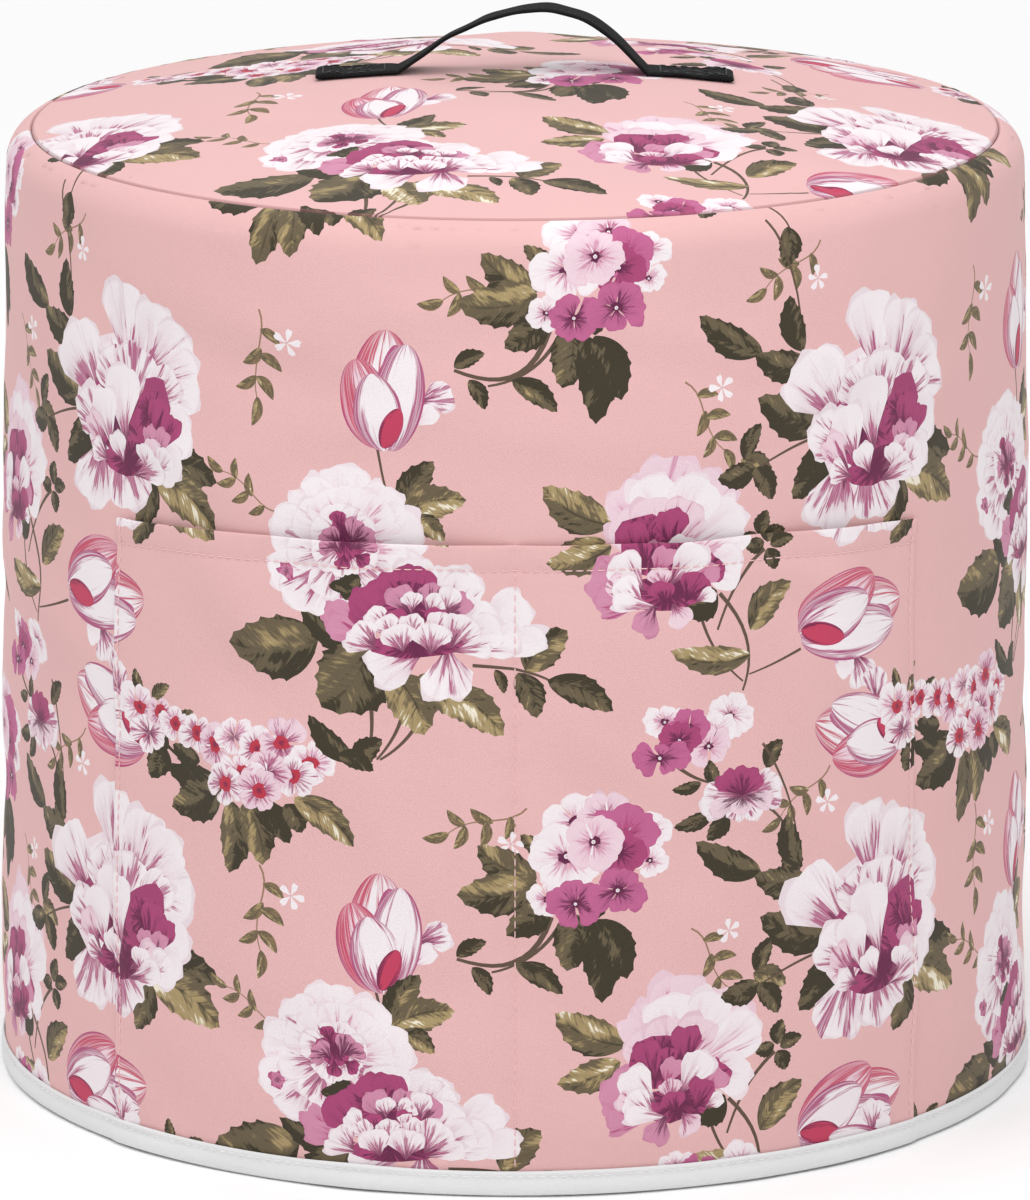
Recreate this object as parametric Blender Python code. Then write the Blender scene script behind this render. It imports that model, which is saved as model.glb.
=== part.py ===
"""Fabric dust cover for a rice cooker: a padded drum of printed cloth, open at the bottom.

Metres, +Z up, the front faces -Y. The origin is the centre of the bottom rim, on the surface
that the cover stands on.
"""

import math

import bmesh
import bpy
from mathutils import Vector

# The drum. The wall is a slightly flared cylinder that rounds over into the top seam.
WALL_BOTTOM_RADIUS = 0.1622
WALL_TOP_RADIUS = 0.1582
SHOULDER_RADIUS = 0.0103
SHOULDER_SWEEP = math.radians(75)
SHOULDER_Z = 0.2884
DOME_HEIGHT = 0.016
SEAM_RADIUS = WALL_TOP_RADIUS - SHOULDER_RADIUS * (1 - math.cos(SHOULDER_SWEEP))
SEAM_Z = SHOULDER_Z + SHOULDER_RADIUS * math.sin(SHOULDER_SWEEP)

# The layers, from the outside in, and the gap that neighbouring solids keep.
GAP = 0.0003
CLOTH_THICKNESS = 0.0005
PADDING_THICKNESS = 0.002
LINING_THICKNESS = 0.0004
PADDING_DEPTH = CLOTH_THICKNESS + GAP
LINING_DEPTH = PADDING_DEPTH + PADDING_THICKNESS + GAP
STACK_DEPTH = LINING_DEPTH + LINING_THICKNESS

# The pocket wraps round the front of the wall, and its bottom edge is caught in the binding.
POCKET_HALF_ANGLE = math.radians(48.7)
POCKET_TOP_Z = 0.201
POCKET_THICKNESS = 0.0006
HEM_DEPTH = 0.007
HEM_THICKNESS = 0.0012

# The binding is folded round the bottom edge of the wall and of the pocket.
BINDING_HEIGHT = 0.0079
BINDING_THICKNESS = 0.0008
BINDING_FLOOR = 0.001
LAYERS_BOTTOM_Z = BINDING_FLOOR + GAP

# Tapes that cover the raw edges inside.
TAPE_THICKNESS = 0.002
TAPE_WIDTH = 0.009
TOP_TAPE_TOP_Z = 0.2946
TOP_TAPE_OUTER_RADIUS = 0.1488
BACK_TAPE_WIDTH = 0.012
BACK_TAPE_THICKNESS = 0.0008

# The strap: webbing sewn flat to the top at both ends, with a free arch between them.
STRAP_WIDTH = 0.015
STRAP_THICKNESS = 0.0012
STRAP_Y = 0.006
LEFT_END_X = -0.062
LEFT_FOOT_X = -0.0362
APEX_X = 0.0105
RIGHT_FOOT_X = 0.0409
RIGHT_END_X = 0.068
ARCH_HEIGHT = 0.0195
LEFT_RISE = math.radians(33)
RIGHT_FALL = math.radians(47)
HINGE_HEIGHT = 0.0088
ARCH_SAMPLES = 24

# Thread.
THREAD_RADIUS = 0.0003
THREAD_LIFT = THREAD_RADIUS + GAP
STITCH_INSET = 0.0015

# How finely round shapes are cut.
SEGMENTS = 72
SHOULDER_STEPS = 3
FRONT = -math.pi / 2
BACK = math.pi / 2

PINK = (0.83, 0.49, 0.50)
WHITE = (0.86, 0.86, 0.87)
BLACK = (0.012, 0.012, 0.014)
PADDING_WHITE = (0.80, 0.78, 0.75)
LINING_WHITE = (0.84, 0.80, 0.79)
THREAD_PINK = (0.86, 0.58, 0.58)


def clear_scene():
    for obj in list(bpy.data.objects):
        bpy.data.objects.remove(obj)


def fabric(name, colour, roughness):
    material = bpy.data.materials.new(name)
    material.use_nodes = True
    shader = material.node_tree.nodes["Principled BSDF"]
    shader.inputs["Base Color"].default_value = (*colour, 1)
    shader.inputs["Roughness"].default_value = roughness
    shader.inputs["Metallic"].default_value = 0
    return material


def place(name, mesh_or_curve, material, parent):
    obj = bpy.data.objects.new(name, mesh_or_curve)
    bpy.context.scene.collection.objects.link(obj)
    mesh_or_curve.materials.append(material)
    obj.parent = parent
    return obj


def shaded(mesh):
    mesh.shade_smooth()
    mesh.set_sharp_from_angle(angle=math.radians(35))
    return mesh


def polar(radius, angle, z):
    return Vector((radius * math.cos(angle), radius * math.sin(angle), z))


def wall_radius(z):
    """Outer radius of the printed wall below the shoulder."""
    share = z / SHOULDER_Z
    return WALL_BOTTOM_RADIUS + (WALL_TOP_RADIUS - WALL_BOTTOM_RADIUS) * share


def dome_z(radius):
    """Height of the top cloth's outer surface at a distance from the axis."""
    return SEAM_Z + DOME_HEIGHT * (1 - (radius / SEAM_RADIUS) ** 2)


def wall_line(depth):
    """(radius, z) up one surface of the wall, this deep below the printed surface."""
    line = [(wall_radius(LAYERS_BOTTOM_Z) - depth, LAYERS_BOTTOM_Z)]
    centre_radius = WALL_TOP_RADIUS - SHOULDER_RADIUS
    reach = SHOULDER_RADIUS - depth
    for step in range(SHOULDER_STEPS + 1):
        turn = SHOULDER_SWEEP * step / SHOULDER_STEPS
        line.append((centre_radius + reach * math.cos(turn), SHOULDER_Z + reach * math.sin(turn)))
    return line


def turned(profile, closed_loop=True):
    """A mesh spun from a closed (radius, z) outline; an outline that starts and ends at radius 0 is a disc."""
    bm = bmesh.new()
    rings = []
    for radius, z in profile:
        if radius == 0:
            rings.append([bm.verts.new((0, 0, z))])
            continue
        rings.append([bm.verts.new(polar(radius, math.tau * i / SEGMENTS, z)) for i in range(SEGMENTS)])
    pairs = list(zip(rings, rings[1:]))
    if closed_loop:
        pairs.append((rings[-1], rings[0]))
    for lower, upper in pairs:
        for i in range(SEGMENTS):
            j = (i + 1) % SEGMENTS
            corners = [lower[i % len(lower)], lower[j % len(lower)], upper[j % len(upper)], upper[i % len(upper)]]
            bm.faces.new(list(dict.fromkeys(corners)))
    return finished(bm)


def finished(bm):
    bmesh.ops.recalc_face_normals(bm, faces=bm.faces)
    mesh = bpy.data.meshes.new("shape")
    bm.to_mesh(mesh)
    bm.free()
    return shaded(mesh)


def wall_layer(depth, thickness):
    outer = wall_line(depth)
    inner = wall_line(depth + thickness)
    return turned(outer + inner[::-1])


def top_layer(depth, thickness):
    """A domed disc. Its rim leans with the end of the wall's layers and keeps the gap to them."""

    def line(at_depth):
        rim = SEAM_RADIUS - GAP / math.sin(SHOULDER_SWEEP) - at_depth / math.tan(SHOULDER_SWEEP)
        radii = [0, 0.35 * rim, 0.65 * rim, 0.87 * rim, rim]
        return [(radius, dome_z(radius) - at_depth) for radius in radii]

    return turned(line(depth) + line(depth + thickness)[::-1], closed_loop=False)


def swept(outline_at, angles):
    """A closed solid through outlines of equal length: outline_at(angle) gives (radius, z) pairs."""
    bm = bmesh.new()
    sections = [[bm.verts.new(polar(radius, angle, z)) for radius, z in outline_at(angle)] for angle in angles]
    for near, far in zip(sections, sections[1:]):
        for i in range(len(near)):
            j = (i + 1) % len(near)
            bm.faces.new((near[i], near[j], far[j], far[i]))
    bm.faces.new(sections[0])
    bm.faces.new(sections[-1][::-1])
    return finished(bm)


def pocket_outline(angle):
    """The pocket's section: a thin cloth with a thicker folded hem at its top."""
    hem_z = POCKET_TOP_Z - HEM_DEPTH
    inside = [(wall_radius(z) + GAP, z) for z in (LAYERS_BOTTOM_Z, hem_z, POCKET_TOP_Z)]
    outside = [
        (wall_radius(POCKET_TOP_Z) + GAP + HEM_THICKNESS, POCKET_TOP_Z),
        (wall_radius(hem_z) + GAP + HEM_THICKNESS, hem_z),
        (wall_radius(hem_z) + GAP + POCKET_THICKNESS, hem_z - POCKET_THICKNESS),
        (wall_radius(LAYERS_BOTTOM_Z) + GAP + POCKET_THICKNESS, LAYERS_BOTTOM_Z),
    ]
    return inside + outside


def front_angles(half_angle):
    count = round(2 * half_angle / math.tau * SEGMENTS) * 2
    return [FRONT - half_angle + 2 * half_angle * i / count for i in range(count + 1)]


def binding_shape():
    """A U-section ring round the bottom edge. Its flat floor is what the cover stands on."""
    outside = WALL_BOTTOM_RADIUS + POCKET_THICKNESS + 2 * GAP + BINDING_THICKNESS
    inside = WALL_BOTTOM_RADIUS - STACK_DEPTH - GAP - BINDING_THICKNESS
    corner = BINDING_THICKNESS / 2
    return turned(
        [
            (outside, BINDING_HEIGHT),
            (outside, corner),
            (outside - corner, 0),
            (inside + corner, 0),
            (inside, corner),
            (inside, BINDING_HEIGHT),
            (inside + BINDING_THICKNESS, BINDING_HEIGHT),
            (inside + BINDING_THICKNESS, BINDING_FLOOR),
            (outside - BINDING_THICKNESS, BINDING_FLOOR),
            (outside - BINDING_THICKNESS, BINDING_HEIGHT),
        ]
    )


def top_tape_shape():
    inner = TOP_TAPE_OUTER_RADIUS - TAPE_THICKNESS
    low = TOP_TAPE_TOP_Z - TAPE_WIDTH
    return turned(
        [
            (TOP_TAPE_OUTER_RADIUS, TOP_TAPE_TOP_Z),
            (TOP_TAPE_OUTER_RADIUS, low),
            (inner, low),
            (inner, TOP_TAPE_TOP_Z),
        ]
    )


def back_tape_shape():
    low = BINDING_HEIGHT + GAP
    high = SHOULDER_Z - GAP

    def outline(_angle):
        faces = [STACK_DEPTH + GAP, STACK_DEPTH + GAP + BACK_TAPE_THICKNESS]
        outer, inner = faces
        return [
            (wall_radius(low) - outer, low),
            (wall_radius(high) - outer, high),
            (wall_radius(high) - inner, high),
            (wall_radius(low) - inner, low),
        ]

    half_angle = BACK_TAPE_WIDTH / 2 / WALL_TOP_RADIUS
    return swept(outline, [BACK - half_angle, BACK, BACK + half_angle])


def thread(name, points, material, parent, cyclic=False):
    """A row of stitches as one thin round strand through its points."""
    curve = bpy.data.curves.new(name, "CURVE")
    curve.dimensions = "3D"
    curve.bevel_depth = THREAD_RADIUS
    curve.bevel_resolution = 1
    curve.use_fill_caps = True
    spline = curve.splines.new("POLY")
    spline.points.add(len(points) - 1)
    for target, point in zip(spline.points, points):
        target.co = (*point, 1)
    spline.use_cyclic_u = cyclic
    return place(name, curve, material, parent)


def cubic(a, b, c, d, t):
    s = 1 - t
    return a * s**3 + b * 3 * s * s * t + c * 3 * s * t * t + d * t**3


def on_top(x, y=STRAP_Y):
    return dome_z(math.hypot(x, y))


def strap_line():
    """The strap's underside from end to end, as (x, z): flat, up to the apex, down and flat again."""
    foot_left = Vector((LEFT_FOOT_X, on_top(LEFT_FOOT_X) + GAP))
    foot_right = Vector((RIGHT_FOOT_X, on_top(RIGHT_FOOT_X) + GAP))
    apex = Vector((APEX_X, on_top(0) + ARCH_HEIGHT))
    left_pull = 0.42 * (APEX_X - LEFT_FOOT_X)
    right_pull = 0.48 * (RIGHT_FOOT_X - APEX_X)
    rise = Vector((math.cos(LEFT_RISE), math.sin(LEFT_RISE)))
    fall = Vector((-math.cos(RIGHT_FALL), math.sin(RIGHT_FALL)))
    level = Vector((1, 0))
    up = [foot_left, foot_left + rise * left_pull, apex - level * left_pull, apex]
    down = [apex, apex + level * right_pull * 0.8, foot_right + fall * right_pull, foot_right]
    line = [Vector((x, on_top(x) + GAP)) for x in spaced(LEFT_END_X, LEFT_FOOT_X, 5)[:-1]]
    line += [cubic(*up, i / ARCH_SAMPLES) for i in range(ARCH_SAMPLES)]
    line += [cubic(*down, i / ARCH_SAMPLES) for i in range(ARCH_SAMPLES)]
    line += [Vector((x, on_top(x) + GAP)) for x in spaced(RIGHT_FOOT_X, RIGHT_END_X, 5)]
    return line


def spaced(start, end, count):
    return [start + (end - start) * i / (count - 1) for i in range(count)]


def hinge_z():
    return on_top(0) + HINGE_HEIGHT


def crossing(line, z):
    """The x of every place where the line passes through this height."""
    found = []
    for a, b in zip(line, line[1:]):
        if (a.y - z) * (b.y - z) < 0:
            found.append(a.x + (b.x - a.x) * (z - a.y) / (b.y - a.y))
    return found


def point_at(line, x):
    """The line's point at this x, or its nearer end where the line stops short of it."""
    for a, b in zip(line, line[1:]):
        if a.x <= x <= b.x:
            return a.lerp(b, (x - a.x) / (b.x - a.x))
    return line[0] if x < line[0].x else line[-1]


def cut_between(line, low_x, high_x):
    """The stretch of the line between two upright planes, ending on a point on each plane."""
    clear = STRAP_THICKNESS
    inner = [point for point in line if low_x + clear < point.x < high_x - clear]
    return [point_at(line, low_x), *inner, point_at(line, high_x)]


def webbing(line):
    """A strap of the webbing's width and thickness whose underside follows the line."""
    bm = bmesh.new()
    sections = []
    for i, point in enumerate(line):
        ahead = line[min(i + 1, len(line) - 1)] - line[max(i - 1, 0)]
        upright = i in (0, len(line) - 1)
        across = Vector((0, 1)) if upright else Vector((-ahead.y, ahead.x)).normalized()
        lift = across * STRAP_THICKNESS * (ahead.length / max(ahead.x, 1e-6) if upright else 1)
        section = []
        for side, offset in ((-1, Vector((0, 0))), (1, Vector((0, 0))), (1, lift), (-1, lift)):
            spot = point + offset
            section.append(bm.verts.new((spot.x, STRAP_Y + side * STRAP_WIDTH / 2, spot.y)))
        sections.append(section)
    for near, far in zip(sections, sections[1:]):
        for i in range(4):
            j = (i + 1) % 4
            bm.faces.new((near[i], near[j], far[j], far[i]))
    bm.faces.new(sections[0])
    bm.faces.new(sections[-1][::-1])
    return finished(bm)


def moved(mesh, offset):
    for vertex in mesh.vertices:
        vertex.co += offset
    return mesh


def strap_stitches(name, end_x, foot_x, material, parent):
    """The stitched rectangle that holds one flat end of the strap."""
    inset = 0.0022
    half_width = STRAP_WIDTH / 2 - inset
    direction = 1 if foot_x > end_x else -1
    near = end_x + direction * inset
    far = foot_x - direction * 2 * inset
    lengthwise = spaced(near, far, 6)
    route = [(x, -half_width) for x in lengthwise] + [(x, half_width) for x in lengthwise[::-1]]
    height = GAP + STRAP_THICKNESS + THREAD_LIFT
    points = [Vector((x, STRAP_Y + y, on_top(x) + height)) for x, y in route]
    return thread(name, points, material, parent, cyclic=True)


def ring_points(radius, z, lift):
    return [polar(radius + lift, math.tau * i / SEGMENTS, z) for i in range(SEGMENTS)]


def build_layers(cover):
    cloth = fabric("printed_fabric", PINK, 0.85)
    padding = fabric("padding", PADDING_WHITE, 0.95)
    lining = fabric("lining", LINING_WHITE, 0.85)
    place("wall_panel", wall_layer(0, CLOTH_THICKNESS), cloth, cover)
    place("wall_padding", wall_layer(PADDING_DEPTH, PADDING_THICKNESS), padding, cover)
    place("wall_lining", wall_layer(LINING_DEPTH, LINING_THICKNESS), lining, cover)
    place("top_panel", top_layer(0, CLOTH_THICKNESS), cloth, cover)
    place("top_padding", top_layer(PADDING_DEPTH, PADDING_THICKNESS), padding, cover)
    place("top_lining", top_layer(LINING_DEPTH, LINING_THICKNESS), lining, cover)
    place("pocket_panel", swept(pocket_outline, front_angles(POCKET_HALF_ANGLE)), cloth, cover)


def build_edges(cover):
    binding = fabric("binding", WHITE, 0.8)
    place("hem_binding", binding_shape(), binding, cover)
    place("top_seam_tape", top_tape_shape(), binding, cover)
    place("back_seam_tape", back_tape_shape(), binding, cover)


def build_seams(cover):
    pink = fabric("pink_thread", THREAD_PINK, 0.6)
    white = fabric("white_thread", WHITE, 0.6)
    on_pocket = GAP + POCKET_THICKNESS + THREAD_LIFT
    hem_z = POCKET_TOP_Z - HEM_DEPTH - 2 * POCKET_THICKNESS
    low_z = BINDING_HEIGHT + 2 * GAP + THREAD_RADIUS
    side = POCKET_HALF_ANGLE - STITCH_INSET / WALL_TOP_RADIUS
    below_hem = hem_z - 2 * STITCH_INSET

    def upright(angle, low, high, lift):
        return [polar(wall_radius(z) + lift, angle, z) for z in spaced(low, high, 12)]

    hem_row = [polar(wall_radius(hem_z) + on_pocket, a, hem_z) for a in front_angles(side)]
    thread("pocket_hem_stitch", hem_row, pink, cover)
    thread("pocket_centre_stitch", upright(FRONT, low_z, below_hem, on_pocket), pink, cover)
    thread("pocket_left_stitch", upright(FRONT - side, low_z, below_hem, on_pocket), pink, cover)
    thread("pocket_right_stitch", upright(FRONT + side, low_z, below_hem, on_pocket), pink, cover)
    thread("back_seam_stitch", upright(BACK, low_z, SHOULDER_Z, THREAD_LIFT), pink, cover)

    binding_radius = WALL_BOTTOM_RADIUS + POCKET_THICKNESS + 2 * GAP + BINDING_THICKNESS
    binding_row = ring_points(binding_radius, BINDING_HEIGHT - STITCH_INSET, THREAD_LIFT)
    thread("binding_stitch", binding_row, white, cover, cyclic=True)
    tape_radius = TOP_TAPE_OUTER_RADIUS - TAPE_THICKNESS
    tape_row = ring_points(tape_radius, TOP_TAPE_TOP_Z - TAPE_WIDTH / 2, -THREAD_LIFT)
    thread("top_seam_stitch", tape_row, white, cover, cyclic=True)


def build_strap(cover):
    strap = fabric("webbing", BLACK, 0.7)
    black = fabric("black_thread", BLACK, 0.6)
    line = strap_line()
    left_cut, right_cut = crossing(line, hinge_z() - STRAP_THICKNESS / 2)
    place("handle_end_left", webbing(cut_between(line, LEFT_END_X, left_cut - GAP / 2)), strap, cover)
    place("handle_end_right", webbing(cut_between(line, right_cut + GAP / 2, RIGHT_END_X)), strap, cover)
    strap_stitches("handle_left_stitch", LEFT_END_X, LEFT_FOOT_X, black, cover)
    strap_stitches("handle_right_stitch", RIGHT_END_X, RIGHT_FOOT_X, black, cover)

    # The arch bends back and forth about a line through its two roots, so its origin is on it.
    pivot = bpy.data.objects.new("handle_pivot", None)
    bpy.context.scene.collection.objects.link(pivot)
    pivot.location = (0, STRAP_Y, hinge_z())
    arch = moved(webbing(cut_between(line, left_cut + GAP / 2, right_cut - GAP / 2)), -pivot.location)
    place("handle_arch", arch, strap, pivot)


def main():
    clear_scene()
    cover = bpy.data.objects.new("cover", None)
    bpy.context.scene.collection.objects.link(cover)
    build_layers(cover)
    build_edges(cover)
    build_seams(cover)
    build_strap(cover)


main()
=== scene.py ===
"""The looks of a printed fabric dust cover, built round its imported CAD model.

Metres, +Z up, the front faces -Y. Cloth places are (s, v): s is metres round the wall from the
middle of the front, v is metres up the wall from the surface that the cover stands on.
"""

import math
import random

import bpy
import mathutils
import numpy as np
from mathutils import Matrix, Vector


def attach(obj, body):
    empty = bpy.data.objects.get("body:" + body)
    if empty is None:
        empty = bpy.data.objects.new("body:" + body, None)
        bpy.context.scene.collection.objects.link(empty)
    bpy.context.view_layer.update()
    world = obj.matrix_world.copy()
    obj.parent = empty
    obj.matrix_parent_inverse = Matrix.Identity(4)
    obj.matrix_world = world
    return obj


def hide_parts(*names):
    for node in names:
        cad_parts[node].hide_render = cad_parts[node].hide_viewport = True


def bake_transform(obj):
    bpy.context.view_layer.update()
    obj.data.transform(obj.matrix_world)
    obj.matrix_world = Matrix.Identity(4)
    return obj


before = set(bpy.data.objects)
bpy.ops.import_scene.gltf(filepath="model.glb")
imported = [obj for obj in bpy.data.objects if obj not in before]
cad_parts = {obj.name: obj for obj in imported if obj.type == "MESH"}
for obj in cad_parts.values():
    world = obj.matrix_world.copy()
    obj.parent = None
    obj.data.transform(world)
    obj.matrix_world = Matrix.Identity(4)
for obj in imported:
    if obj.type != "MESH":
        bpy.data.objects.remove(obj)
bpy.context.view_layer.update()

MM = 0.001

# The drum, as in the CAD. The shoulder ends a little early, where the cloth rolls into the seam.
WALL_BOTTOM_RADIUS = 0.1622
WALL_TOP_RADIUS = 0.1582
SHOULDER_Z = 0.2884
SHOULDER_RADIUS = 0.0103
SHOULDER_SWEEP = math.radians(68)
DOME_HEIGHT = 0.016
DOME_RADIUS = 0.15057
DOME_RIM_Z = 0.29835
ROLL_RADIUS = 0.0011
WALL_ROLL_END = math.radians(172)
TOP_ROLL_END = math.radians(6)
TOP_ROLL_START = 0.14945
# SEAM_RADIUS and SEAM_Z centre the painted shade along the top seam in the printed cloth's colour.
SEAM_RADIUS = 0.1503
SEAM_Z = 0.293
LAYER_BOTTOM = 0.0013
S_RADIUS = 0.1602
HALF_ROUND = math.pi * S_RADIUS
SHOULDER_END_V = SHOULDER_Z + SHOULDER_RADIUS * SHOULDER_SWEEP
WALL_END_V = SHOULDER_END_V + ROLL_RADIUS * (WALL_ROLL_END - SHOULDER_SWEEP)
FRONT = -math.pi / 2

# How deep each layer lies under the printed surface, how thick it is, and how far out it reaches on top.
PADDING_DEPTH = 0.0008
PADDING_THICKNESS = 0.002
PADDING_RIM = 0.1485
LINING_DEPTH = 0.0031
LINING_THICKNESS = 0.0004
LINING_RIM = 0.1482
TAPE_DEPTH = 0.0036

# The pocket.
POCKET_HALF_WIDTH = 0.1362
POCKET_TOP = 0.2012
POCKET_DROOP = 0.0045
POCKET_HEM = 0.0074
FOLD_RADIUS = 0.0004
SIDE_HEM = 0.006
SIDE_STITCH_INSET = 0.0016

# The binding: how far its two faces lie from the wall, and how much further out over the pocket.
BINDING_HEIGHT = 0.0079
BINDING_STITCH_Z = 0.0062
BINDING_OUT = 0.0009
BINDING_IN = -0.0046
BINDING_DIMPLE = 0.00018
POCKET_STEP = 0.0008

# Stitches: length, gap and radius of thread.
CLOTH_STITCH = (0.0024, 0.0008, 0.0002)
BINDING_STITCH = (0.0024, 0.0009, 0.00018)
TAPE_STITCH = (0.0026, 0.0009, 0.0002)
STRAP_STITCH = (0.0026, 0.0008, 0.00022)

# The strap, sewn flat to the top at both ends.
STRAP_WIDTH = 0.015
STRAP_THICKNESS = 0.0012
STRAP_TUCK = 0.0007
STRAP_GAP = 0.0003
STRAP_Y = 0.006
LEFT_END_X = -0.062
LEFT_FOOT_X = -0.0362
APEX_X = 0.0105
RIGHT_FOOT_X = 0.0409
RIGHT_END_X = 0.068
ARCH_HEIGHT = 0.0187
LEFT_RISE = math.radians(33)
RIGHT_FALL = math.radians(47)
LEFT_LEAN = math.radians(9)
RIGHT_LEAN = math.radians(-3)
BEND_START = 0.003
BEND_END = 0.018


# ---- The print: shapes in painter's order on a repeat, in millimetres of cloth ----------------

REPEAT = (252.0, 330.0)
POCKET_START = (1.5, -1.0)
TOP_START = (0, -282)
PLAIN, PETAL, LEAF, TULIP = 0, 1, 2, 3
PETAL_SHOULDER, PETAL_POWER = 0.28, 4.0
PETAL_STEPS, LEAF_STEPS, STEM_STEPS, BLOB_STEPS = 16, 18, 10, 14
LEAF_BEND_STEPS = 10.0
SEED_STEP, SEEDS = 3.7, 97


def srgb(red, green, blue):
    """Linear colour of an sRGB triple given out of 255."""
    shares = [channel / 255 for channel in (red, green, blue)]
    return tuple(c / 12.92 if c <= 0.04045 else ((c + 0.055) / 1.055) ** 2.4 for c in shares)


GROUND = srgb(223, 178, 177)
WHITE = srgb(236, 228, 231)
BLUSH = srgb(230, 204, 214)
ROSE = srgb(204, 138, 166)
ORCHID = srgb(188, 98, 142)
MAGENTA = srgb(166, 68, 114)
PLUM = srgb(96, 32, 68)
TULIP_RED = srgb(190, 62, 92)
BLOSSOM_RED = srgb(182, 52, 70)
OLIVE = srgb(100, 89, 67)
DEEP_LEAF = srgb(56, 51, 35)
TAN = srgb(165, 145, 103)
CREAM = srgb(232, 224, 204)
TWIG = srgb(92, 76, 62)
LIGHT_TWIG = srgb(150, 120, 98)
SPRIG_DARK = srgb(134, 112, 84)

draw = random.Random(20)
SHAPES = []


def stamp(unit_outline, pose, style, light, dark, spread=1.0, reach=0.4):
    """Adds a shape: an outline in its own unit frame, set on the cloth by pose (x, y, angle, length)."""
    x, y, angle, length = pose
    along, across = math.cos(angle) * length, math.sin(angle) * length
    outline = [(x + along * u - across * v, y + across * u + along * v) for u, v in unit_outline]
    SHAPES.append((outline, pose, (style, spread, reach), light, dark))


def lay(motif, at, size, degrees):
    """Draws a motif about (0, 0) and moves it to its place on the cloth."""
    first = len(SHAPES)
    motif()
    turn = math.radians(degrees)
    along, across = size * math.cos(turn), size * math.sin(turn)

    def spot(x, y):
        return at[0] + along * x - across * y, at[1] + across * x + along * y

    for i in range(first, len(SHAPES)):
        outline, (x, y, angle, length), form, light, dark = SHAPES[i]
        moved = [spot(*point) for point in outline]
        SHAPES[i] = (moved, (*spot(x, y), angle + turn, length * size), form, light, dark)


def petal(x, y, degrees, length, spread, light, dark, reach):
    """A fan from its root, with a soft wavy outer edge. reach is how far up the dark strokes run."""
    half = math.radians(spread)
    phase, lean, frill = draw.uniform(0, math.tau), draw.uniform(-0.12, 0.12), draw.uniform(0.02, 0.05)
    hip_x, hip_y = 0.3 * math.cos(0.8 * half), 0.3 * math.sin(0.8 * half)
    outline = [(0.0, 0.0), (hip_x, -hip_y)]
    for i in range(PETAL_STEPS + 1):
        share = 2 * i / PETAL_STEPS - 1
        edge = 1 - PETAL_SHOULDER * abs(share) ** PETAL_POWER + lean * share
        edge += frill * (math.sin(2.3 * math.pi * share + phase) + 0.5 * math.sin(15 * share + 2 * phase))
        outline.append((edge * math.cos(share * half), edge * math.sin(share * half)))
    outline.append((hip_x, hip_y))
    stamp(outline, (x, y, math.radians(degrees), length), PETAL, light, dark, half, reach)


def fan(light, dark, reach, *petals):
    """Petals given as (root x, root y, degrees, length, spread), all in one pair of colours."""
    for row in petals:
        petal(*row, light, dark, reach)


def leaf(x, y, degrees, length, width, glow, light=TAN, dark=DEEP_LEAF, bend=0.08, teeth=0.1):
    """A pointed oval with a bent midrib and a toothed edge. glow is how much of it is light."""
    right, left = [], []
    for i in range(1, LEAF_STEPS):
        share = i / LEAF_STEPS
        middle = 4 * bend * share * (1 - share)
        half = width / 2 * math.sin(math.pi * share**0.82) ** 0.75
        tooth = teeth * (i % 3 == 1) * (share > 0.3)
        right.append((share + 0.3 * tooth, middle - half * (1 + tooth)))
        left.append((share + 0.3 * tooth, middle + half * (1 + tooth)))
    outline = [(0, -0.015), *right, (1, 0), *left[::-1], (0, 0.015)]
    form = width / 2 + round(LEAF_BEND_STEPS * bend)
    stamp(outline, (x, y, math.radians(degrees), length), LEAF, light, dark, form, glow)


def leaves(*rows):
    """Leaves given as (base x, base y, degrees, length, width, glow)."""
    for row in rows:
        leaf(*row)


def tulip_petal(x, y, degrees, length, width, dark, light, reach):
    """A tall oval, with strokes from its edges and its base."""
    shares = [(1 - math.cos(math.pi * i / LEAF_STEPS)) / 2 for i in range(1, LEAF_STEPS)]
    sides = [(share, width / 2 * math.sqrt(math.sin(math.pi * share))) for share in shares]
    outline = [(0, 0), *[(u, -v) for u, v in sides], (1, 0), *[(u, v) for u, v in sides[::-1]]]
    stamp(outline, (x, y, math.radians(degrees), length), TULIP, light, dark, width / 2, reach)


def curve_point(points, t):
    """De Casteljau's point on the curve that these points pull."""
    while len(points) > 1:
        points = [(a[0] + (b[0] - a[0]) * t, a[1] + (b[1] - a[1]) * t) for a, b in zip(points, points[1:])]
    return points[0]


def stem(points, width=1.1, colour=TWIG):
    """A tapering line along a smooth curve through three or four points."""
    route = [curve_point(points, i / STEM_STEPS) for i in range(STEM_STEPS + 1)]
    right, left = [], []
    for i, (x, y) in enumerate(route):
        ahead, behind = route[min(i + 1, STEM_STEPS)], route[max(i - 1, 0)]
        dx, dy = ahead[0] - behind[0], ahead[1] - behind[1]
        scale = width / 2 * (1 - 0.45 * i / STEM_STEPS) / math.hypot(dx, dy)
        right.append((x + dy * scale, y - dx * scale))
        left.append((x - dy * scale, y + dx * scale))
    stamp(right + left[::-1], (0, 0, 0, 1), PLAIN, colour, colour)


def blob(at, width, height, light, dark, ragged=0.12, degrees=0):
    """A ragged oval patch."""
    outline = []
    for i in range(BLOB_STEPS):
        turn = math.tau * i / BLOB_STEPS
        radius = 1 + draw.uniform(-ragged, ragged)
        outline.append((radius * math.cos(turn), radius * math.sin(turn) * height / width))
    stamp(outline, (*at, math.radians(degrees), width / 2), PETAL, light, dark, math.pi, 0.9)


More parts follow.
